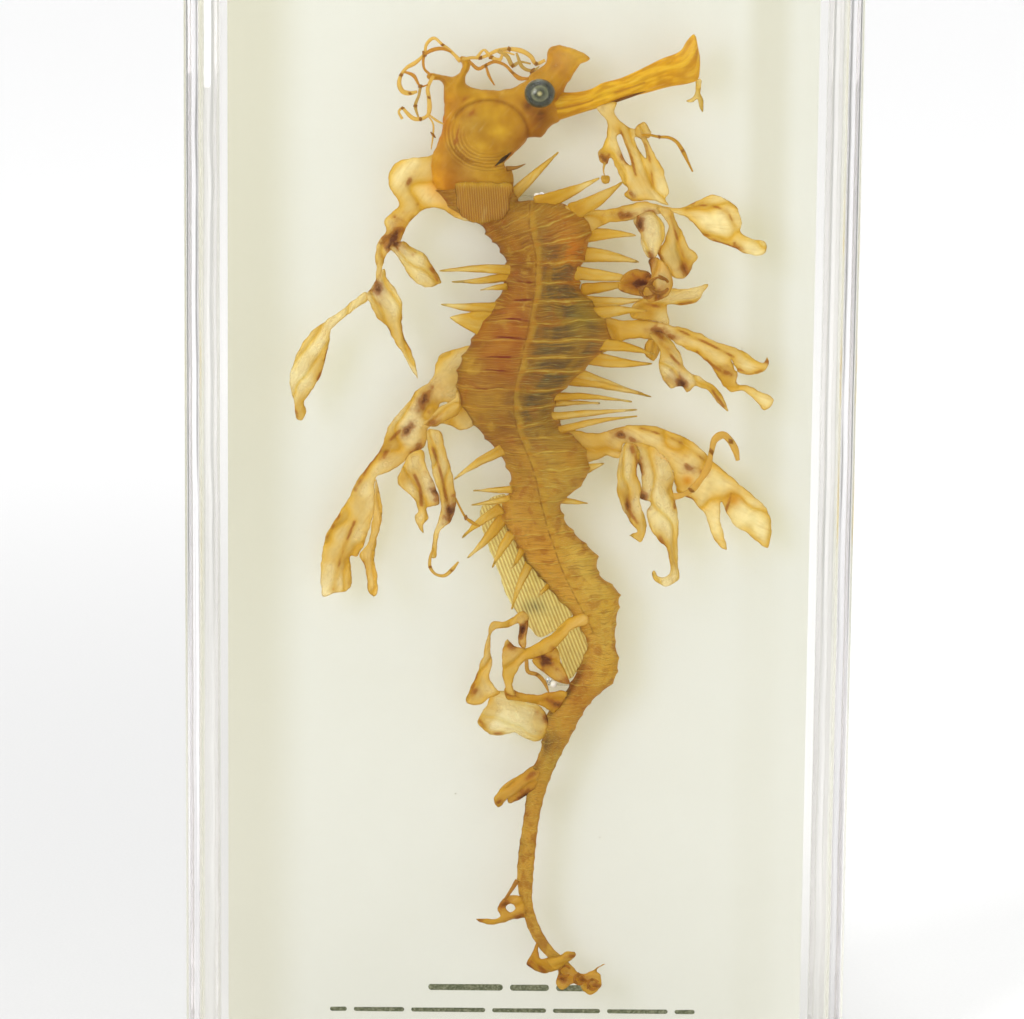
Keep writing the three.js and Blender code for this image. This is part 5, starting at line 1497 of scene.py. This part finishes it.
def build_dorsal_fin(look):
    """The rayed fin on the back, with its dark root line and a dark patch."""
    fin = Tissue()
    across_rays = np.array([0.93, 0.37])
    pitch = 0.95

    def rays(flat, gap):
        along = flat @ across_rays
        return 0.15 * np.cos(2 * math.pi * along / pitch) * np.clip(gap, 0, 1)

    fan = [(-4, 189), (-8.5, 187.5), (-11, 184.5), (-10.5, 179.5), (-8.5, 174), (-6.5, 169), (-4.5, 163.5),
           (-3, 159.5), (-1, 156), (0.5, 153.5), (3.5, 150.5), (6.5, 148), (9, 149), (12.5, 151.5),
           (15.5, 154.5), (17, 156), (13.5, 159.5), (11.5, 162), (9.5, 164.5), (7, 168), (4, 171), (2, 175),
           (-1, 179), (-3, 183), (-3, 186)]
    parts = [(fan, 0.30, 19.0), ([(18.5, 153), (20, 148.5), (20, 144), (18, 140), (14.5, 136), (12, 142.5),
                                  (11, 145.5), (12.5, 149)], 0.3, 18.5)]
    for number, (outline, half, depth) in enumerate(parts):
        points, faces, gap, _ = sheet(outline, depth, half, rim=0.8, step=0.3, ripple=0.5, seed=60 + number,
                                      relief=rays)
        flat = points[:, [0, 2]]
        along = flat @ across_rays
        ray = 0.5 + 0.5 * np.cos(2 * math.pi * along / pitch)
        web = srgb(250, 232, 184)
        tint = toward(web, 0.95 * ray ** 2, srgb(186, 146, 74))
        patch = np.exp(-((flat[:, 0] - 4.6) / 3.6) ** 2 - ((flat[:, 1] - 156.8) / 2.0) ** 2) * (number == 0)
        tint = toward(tint, 0.85 * patch * (0.35 + 0.65 * ray), srgb(96, 78, 52))
        root = distance_to_lines(flat, smooth_curve([(-3.5, 187), (-2, 181), (2, 173.5), (7, 167),
                                                     (11.5, 161), (16.3, 155.3)], 1))
        stain = 0.8 * np.exp(-(root / 0.55) ** 2) * (number == 0)
        fin.add(points, faces, tint, stain, 0.62 * (1 - 0.6 * patch))
    finish_tissue(fin, "seadragon_dorsal_fin", look)


def build_tail(look):
    """The small fronds along the tail and the knot of skin at its tip."""
    tail = Tissue()
    arm = srgb(210, 158, 74)
    leaf(tail, [(19, 156), (15, 154.5), (11.5, 152), (8.5, 149), (5, 147), (2.5, 145.5), (-1, 146.5),
                (-3, 148.5), (-4, 145.5), (-4.5, 141.5), (-4, 137), (-2.5, 132.5), (-0.5, 132), (-1.5, 135),
                (-0.5, 138.5), (2, 142), (3.5, 142.5), (6.5, 142.5), (9.5, 144.5), (12, 147.5), (15, 151),
                (20, 153.5)], 12, arm, 0.6, spots=[(-1.2, 146.4, 1.2), (8, 142.8, 1.3)],
         blobs=[(-2, 139, 2.5, srgb(190, 150, 84), 0.7)], step=0.7, film=0.5, seed=70)
    leaf(tail, [(1.5, 156), (-1.5, 154.2), (-4, 153.2), (-7.2, 153.2), (-8.6, 148.5), (-10, 143),
                (-11.8, 137.5), (-13.6, 133), (-14.6, 129.5), (-10.5, 129), (-8.5, 130.5), (-5, 132.5),
                (-7, 135), (-8, 137.5), (-7.3, 141), (-7.8, 145.5), (-7, 150.6), (-4, 151), (-2.6, 151.3),
                (0.2, 152.6), (0.2, 146.5), (2, 145.5), (2.5, 149.5), (3, 154.5)], 14, srgb(216, 168, 84),
         0.5, spots=[(1.3, 150.5, 1.7), (-12, 132.8, 0.7)], streaks=[(0.35, [(-11.4, 138), (-13.2, 132)])],
         blobs=[(-9, 132, 3, srgb(232, 200, 128), 0.7)], step=0.7, seed=71)
    leaf(tail, [(4, 142.5), (8, 144.4), (10.8, 146), (12.3, 142), (14.8, 135.8), (11.5, 136.2), (9, 137.5),
                (6.5, 139.5)], 11, srgb(214, 158, 62), 0.5, spots=[(8, 142.6, 1.8), (14.2, 136.6, 0.9)],
         step=0.7, seed=72)
    leaf(tail, [(-3.5, 134), (1, 132.8), (5, 132.2), (9, 133), (14, 133), (10.5, 127), (7, 129), (3.5, 130),
                (0, 130.5), (-3, 131)], 13, srgb(196, 138, 58), 0.6,
         spots=[(-2, 132.4, 1.0), (11, 129.6, 1.2)], step=0.7, film=0.4, seed=73)
    leaf(tail, [(-7, 132.4), (-8.5, 129), (-10, 126.5), (-11.2, 124), (-9.2, 121.2), (-6.5, 120),
                (-3, 120.3), (-0.5, 120.8), (2.5, 119.2), (5, 118.3), (7.5, 119.3), (8.8, 122.5),
                (8, 126.5), (5.5, 129.5), (1, 131.2), (-3, 132.9)], 14.5, srgb(238, 230, 200), 0.5,
         streaks=[(0.3, [(-10.6, 124.4), (-8, 121), (-4, 120.6)])],
         blobs=[(-8, 130, 2.5, srgb(220, 160, 66), 0.8), (-10, 124, 2, AMBER, 0.5)], spots=[(9, 125, 1.2)],
         film=0.88, edge=0.1, rim=0.7, cup=1.0, fold=0.4, seed=74)
    filament(tail, [(2.5, 142.5), (3, 139.2), (5.5, 138.3), (7.5, 136.3), (9, 133)], 11, 0.55,
             srgb(190, 138, 60), 0.3, seed=75)
    leaf(tail, [(6.5, 111.5), (1.5, 109), (-1.5, 107), (-4, 105), (-6.3, 102), (-5.3, 98.8), (-4, 99.6),
                (-2.5, 101.6), (-2, 100.2), (0, 100.8), (3, 102.5), (5.5, 105)], 14, srgb(196, 140, 62),
         0.5, spots=[(2.4, 102.6, 1.5), (4, 108.5, 0.8), (-5, 100.6, 0.6)], step=0.6, seed=76)
    leaf(tail, [(1.6, 73), (-1, 73.2), (-3.5, 72), (-5, 69.5), (-4, 67.3), (-6, 66.6), (-8.5, 66.8),
                (-11.4, 66.6), (-9.5, 65.4), (-5.5, 64.8), (-2.5, 65.3), (-0.5, 66.2), (3, 67), (3, 69.5)],
         13.5, srgb(198, 140, 58), 0.8, spots=[(-3.2, 70.6, 1.1), (1.4, 67.3, 1.0), (-10, 66, 0.6)],
         holes=[[(-2.7, 69.8), (-1.2, 70.9), (0.1, 69.7), (-1.3, 68.5)]], rim=1.4, step=0.5, seed=77)
    filament(tail, [(0.6, 78), (-1.2, 75), (-3, 72.2)], 13, 0.7, srgb(176, 118, 48), 0.3, seed=78)
    leaf(tail, [(7, 60), (5, 56.5), (3.3, 53), (5, 52), (7, 50.7), (10, 50.6), (12.6, 52.2), (10.4, 54.9),
                (7.5, 55), (6.8, 57.5)], 13, srgb(190, 132, 56), 0.7,
         spots=[(4, 52.6, 1.3), (8, 51.5, 0.8)], step=0.5, rim=1.3, seed=79)
    leaf(tail, [(9, 55), (13, 56), (15, 57.6), (17.4, 57.3), (17, 55.4), (15, 54), (12, 52)], 12,
         srgb(202, 150, 70), 0.6, spots=[(16.8, 56.4, 0.7)], step=0.5, seed=80)
    leaf(tail, [(10.6, 55), (12.6, 50.5), (12, 47.3), (13.5, 45.6), (16, 47), (18.6, 47.3), (20, 45.2),
                (22, 44.2), (24.9, 46.3), (24.7, 50), (23.7, 51.5), (26, 53.4), (24, 52.8), (21.5, 51),
                (19, 50.6), (16, 52.6), (13.5, 55)], 14, srgb(204, 146, 64), 0.9, spots=[(13.6, 49, 1.1),
                                                                                         (19.6, 48.6, 1.0),
                                                                                         (23.6, 47, 0.8)],
         rim=1.6, step=0.5, seed=81)
    for number, (x, z, size) in enumerate(((14.5, 51.5, 1.6), (18.6, 49.4, 1.4), (22.6, 47.8, 1.5))):
        turns = np.linspace(0.5, 5.6, 9)
        curl = np.column_stack([x + size * np.cos(turns), z + size * np.sin(turns)])
        filament(tail, curl, 12 - 0.5 * number, 0.5, srgb(178, 116, 44), 0.3, seed=82 + number)
    finish_tissue(tail, "seadragon_tail_fronds", look)


def build_animal():
    look = tissue_material()
    build_trunk()
    build_head(look)
    build_eye()
    build_crest(look)
    build_spines(look)
    build_neck(look)
    build_flank(look)
    build_chin(look)
    build_arm(look)
    build_belly(look)
    build_hip(look)
    build_dorsal_fin(look)
    build_tail(look)

# ---------------------------------------------------------------- setting

FLAG_TURNS = 2
FLAG_COLOUR = (0.06, 0.07, 0.05)
FRONT_DIMMING = 0.8
KEY_AWAY = 1700
CAMERA_AIM = (-2.0, 191.0)
CAMERA_AWAY = 1040.0
CAMERA_PITCH, CAMERA_ROLL = 8.4, 0.55
CAMERA_LENS = 134.26


def flag_mask(s, x, y):
    """How far a direction lies in the dark flags at the diagonals, which give the glass its outlines."""
    bearing = s.math("ARCTAN2", y, x)
    swing = s.math("ABSOLUTE", s.math("SINE", s.math("MULTIPLY", bearing, float(FLAG_TURNS))))
    return s.fade(swing, 0.72, 0.98)


def mirrored(s, colour, x, y):
    """Dims what is in front of the jar for mirror rays, so that the front pane doesn't veil the animal."""
    path = s.node("ShaderNodeLightPath").outputs
    glossy = s.math("MULTIPLY", path["Is Glossy Ray"], s.math("SUBTRACT", 1.0, path["Is Transmission Ray"]))
    beside = s.math("DIVIDE", s.math("ABSOLUTE", x), s.math("MAXIMUM", s.math("MULTIPLY", y, -1.0), 0.001))
    in_front = s.math("MULTIPLY", s.fade(beside, 0.5, 0.3), s.fade(y, 0.0, -0.05))
    return s.blend(s.math("MULTIPLY", s.math("MULTIPLY", glossy, in_front), FRONT_DIMMING), colour, (0, 0, 0))


def seen_by_glass(s):
    """1 for rays that glass bends or mirrors, 0 for the camera's own and for soft light."""
    path = s.node("ShaderNodeLightPath").outputs
    return s.math("MAXIMUM", path["Is Glossy Ray"], path["Is Transmission Ray"])


def floor_material():
    """Matt white paper with painted shade near the jar, less of it to the right, and with the dark flags that
    only the glass sees.
    """
    s = Shader("studio_paper")
    place = s.node("ShaderNodeTexCoord").outputs["Object"]
    x, y, _ = s.node("ShaderNodeSeparateXYZ", {"Vector": place}).outputs
    away = s.node("ShaderNodeVectorMath", {0: place}, operation="LENGTH").outputs["Value"]
    far = s.fade(away, 0.5, 1.1)
    flag = s.math("MULTIPLY", s.math("MULTIPLY", flag_mask(s, x, y), far), seen_by_glass(s))
    grain = s.noise(place, 900.0, 3)
    white = s.blend(s.fade(grain, 0.3, 0.7), (0.97, 0.97, 0.97), (0.99, 0.99, 0.99))
    # Painted shade: the paper darkens close to the jar, less so to its right.
    near = s.math("MULTIPLY", s.fade(away, 2.2, 0.1, 0.0, 0.32), s.fade(x, 0.02, 0.14, 1.0, 0.15))
    white = s.blend(near, white, (0.0, 0.0, 0.0))
    colour = s.blend(s.math("MULTIPLY", flag, 0.75), white, FLAG_COLOUR)
    inputs = {"Color": mirrored(s, colour, x, y), "Roughness": 1.0, "Normal": s.bump(grain, 0.05)}
    return s.finish(s.node("ShaderNodeBsdfDiffuse", inputs).outputs[0])


def build_floor():
    """A wide paper disc."""
    radius, sides = 60.0, 96
    rings = [1.2, 6.0, radius]
    points = [(r * math.cos(t), r * math.sin(t), 0) for r in rings
              for t in np.linspace(0, 2 * math.pi, sides, endpoint=False)]
    faces = grid_faces(len(rings), sides).tolist() + [list(range(sides))]
    mesh = bpy.data.meshes.new("studio_floor")
    mesh.from_pydata(points, [], faces)
    mesh.materials.append(floor_material())
    floor = bpy.data.objects.new("studio_floor", mesh)
    bpy.context.scene.collection.objects.link(floor)


def build_world():
    """The surround: white to the camera, lighter to bent rays than to other light, with the dark flags."""
    world = bpy.data.worlds.new("studio_surround")
    world.use_nodes = True
    bpy.context.scene.world = world
    s = Shader.__new__(Shader)
    s.tree = world.node_tree
    s.tree.nodes.clear()
    direction = s.node("ShaderNodeTexCoord").outputs["Generated"]
    x, y, z = s.node("ShaderNodeSeparateXYZ", {"Vector": direction}).outputs
    flag = s.math("MULTIPLY", s.math("MULTIPLY", flag_mask(s, x, y), s.fade(z, 0.75, 0.5)), seen_by_glass(s))
    path = s.node("ShaderNodeLightPath").outputs
    plain = s.blend(path["Is Transmission Ray"], (SURROUND,) * 3, (0.96, 0.96, 0.96))
    light = s.blend(s.math("MULTIPLY", flag, 0.8), plain, FLAG_COLOUR)
    colour = s.blend(path["Is Camera Ray"], mirrored(s, light, x, y), (0.99, 0.99, 0.99))
    background = s.node("ShaderNodeBackground", {"Color": colour}).outputs[0]
    s.node("ShaderNodeOutputWorld", {"Surface": background})


def aim(light, place, target):
    light.location = Vector(place) * MM
    light.rotation_euler = (Vector(target) - Vector(place)).to_track_quat("-Z", "Y").to_euler()


def build_lights():
    """A soft key from the upper left in front, and a broad soft top light."""
    middle = (0, 0, 0.5 * (JAR_LOW[2] + JAR_HIGH[2]))
    key = bpy.data.lights.new("key", "AREA")
    key.shape = "RECTANGLE"
    key.size, key.size_y = 0.7, 1.0
    key.energy = KEY_POWER
    lamp = bpy.data.objects.new("key", key)
    bpy.context.scene.collection.objects.link(lamp)
    way = Vector((-0.8, -1.0, 0.42)).normalized()
    aim(lamp, Vector(middle) + way * KEY_AWAY, middle)
    top = bpy.data.lights.new("top", "SUN")
    top.energy = TOP_POWER
    top.angle = math.radians(70)
    lamp = bpy.data.objects.new("top", top)
    bpy.context.scene.collection.objects.link(lamp)
    aim(lamp, (-200, 300, 1500), (0, 0, 0))


def build_camera():
    """The photograph's viewpoint: in front, a little above, with a slight roll."""
    target = Vector((CAMERA_AIM[0], JAR_LOW[1], CAMERA_AIM[1]))
    pitch, roll = math.radians(CAMERA_PITCH), math.radians(CAMERA_ROLL)
    ahead = Vector((0, math.cos(pitch), -math.sin(pitch)))
    level_up = Vector((0, math.sin(pitch), math.cos(pitch)))
    right = math.cos(roll) * Vector((1, 0, 0)) + math.sin(roll) * level_up
    up = math.cos(roll) * level_up - math.sin(roll) * Vector((1, 0, 0))
    data = bpy.data.cameras.new("view")
    data.lens = CAMERA_LENS
    data.sensor_width = 36
    data.clip_start, data.clip_end = 0.05, 200
    camera = bpy.data.objects.new("view", data)
    bpy.context.scene.collection.objects.link(camera)
    turn = Matrix((right, up, -ahead)).transposed()
    camera.matrix_world = Matrix.Translation((target - ahead * CAMERA_AWAY) * MM) @ turn.to_4x4()
    bpy.context.scene.camera = camera


def set_look():
    scene = bpy.context.scene
    scene.view_settings.view_transform = "Standard"
    cycles = scene.cycles
    cycles.max_bounces = 24
    cycles.transmission_bounces = 20
    cycles.glossy_bounces = 20
    cycles.transparent_max_bounces = 48
    cycles.diffuse_bounces = 3
    cycles.caustics_reflective = False
    cycles.caustics_refractive = False


fluid_level = FLUID_HIGH[2]
build_jar(fluid_level)
build_fluid(fluid_level)
build_lid()
build_plug()
dress_cad_node("lid_seal", sealant_material())
dress_cad_node("back_plate", plate_material(), 0.5)
immersed_glass = clear_material("rod_glass", FLUID_TO_GLASS)
dress_cad_node("left_spacer_rod", immersed_glass, 0.3)
dress_cad_node("right_spacer_rod", immersed_glass, 0.3)
build_legend()
build_ties()
build_animal()
build_floor()
build_world()
build_lights()
build_camera()
set_look()
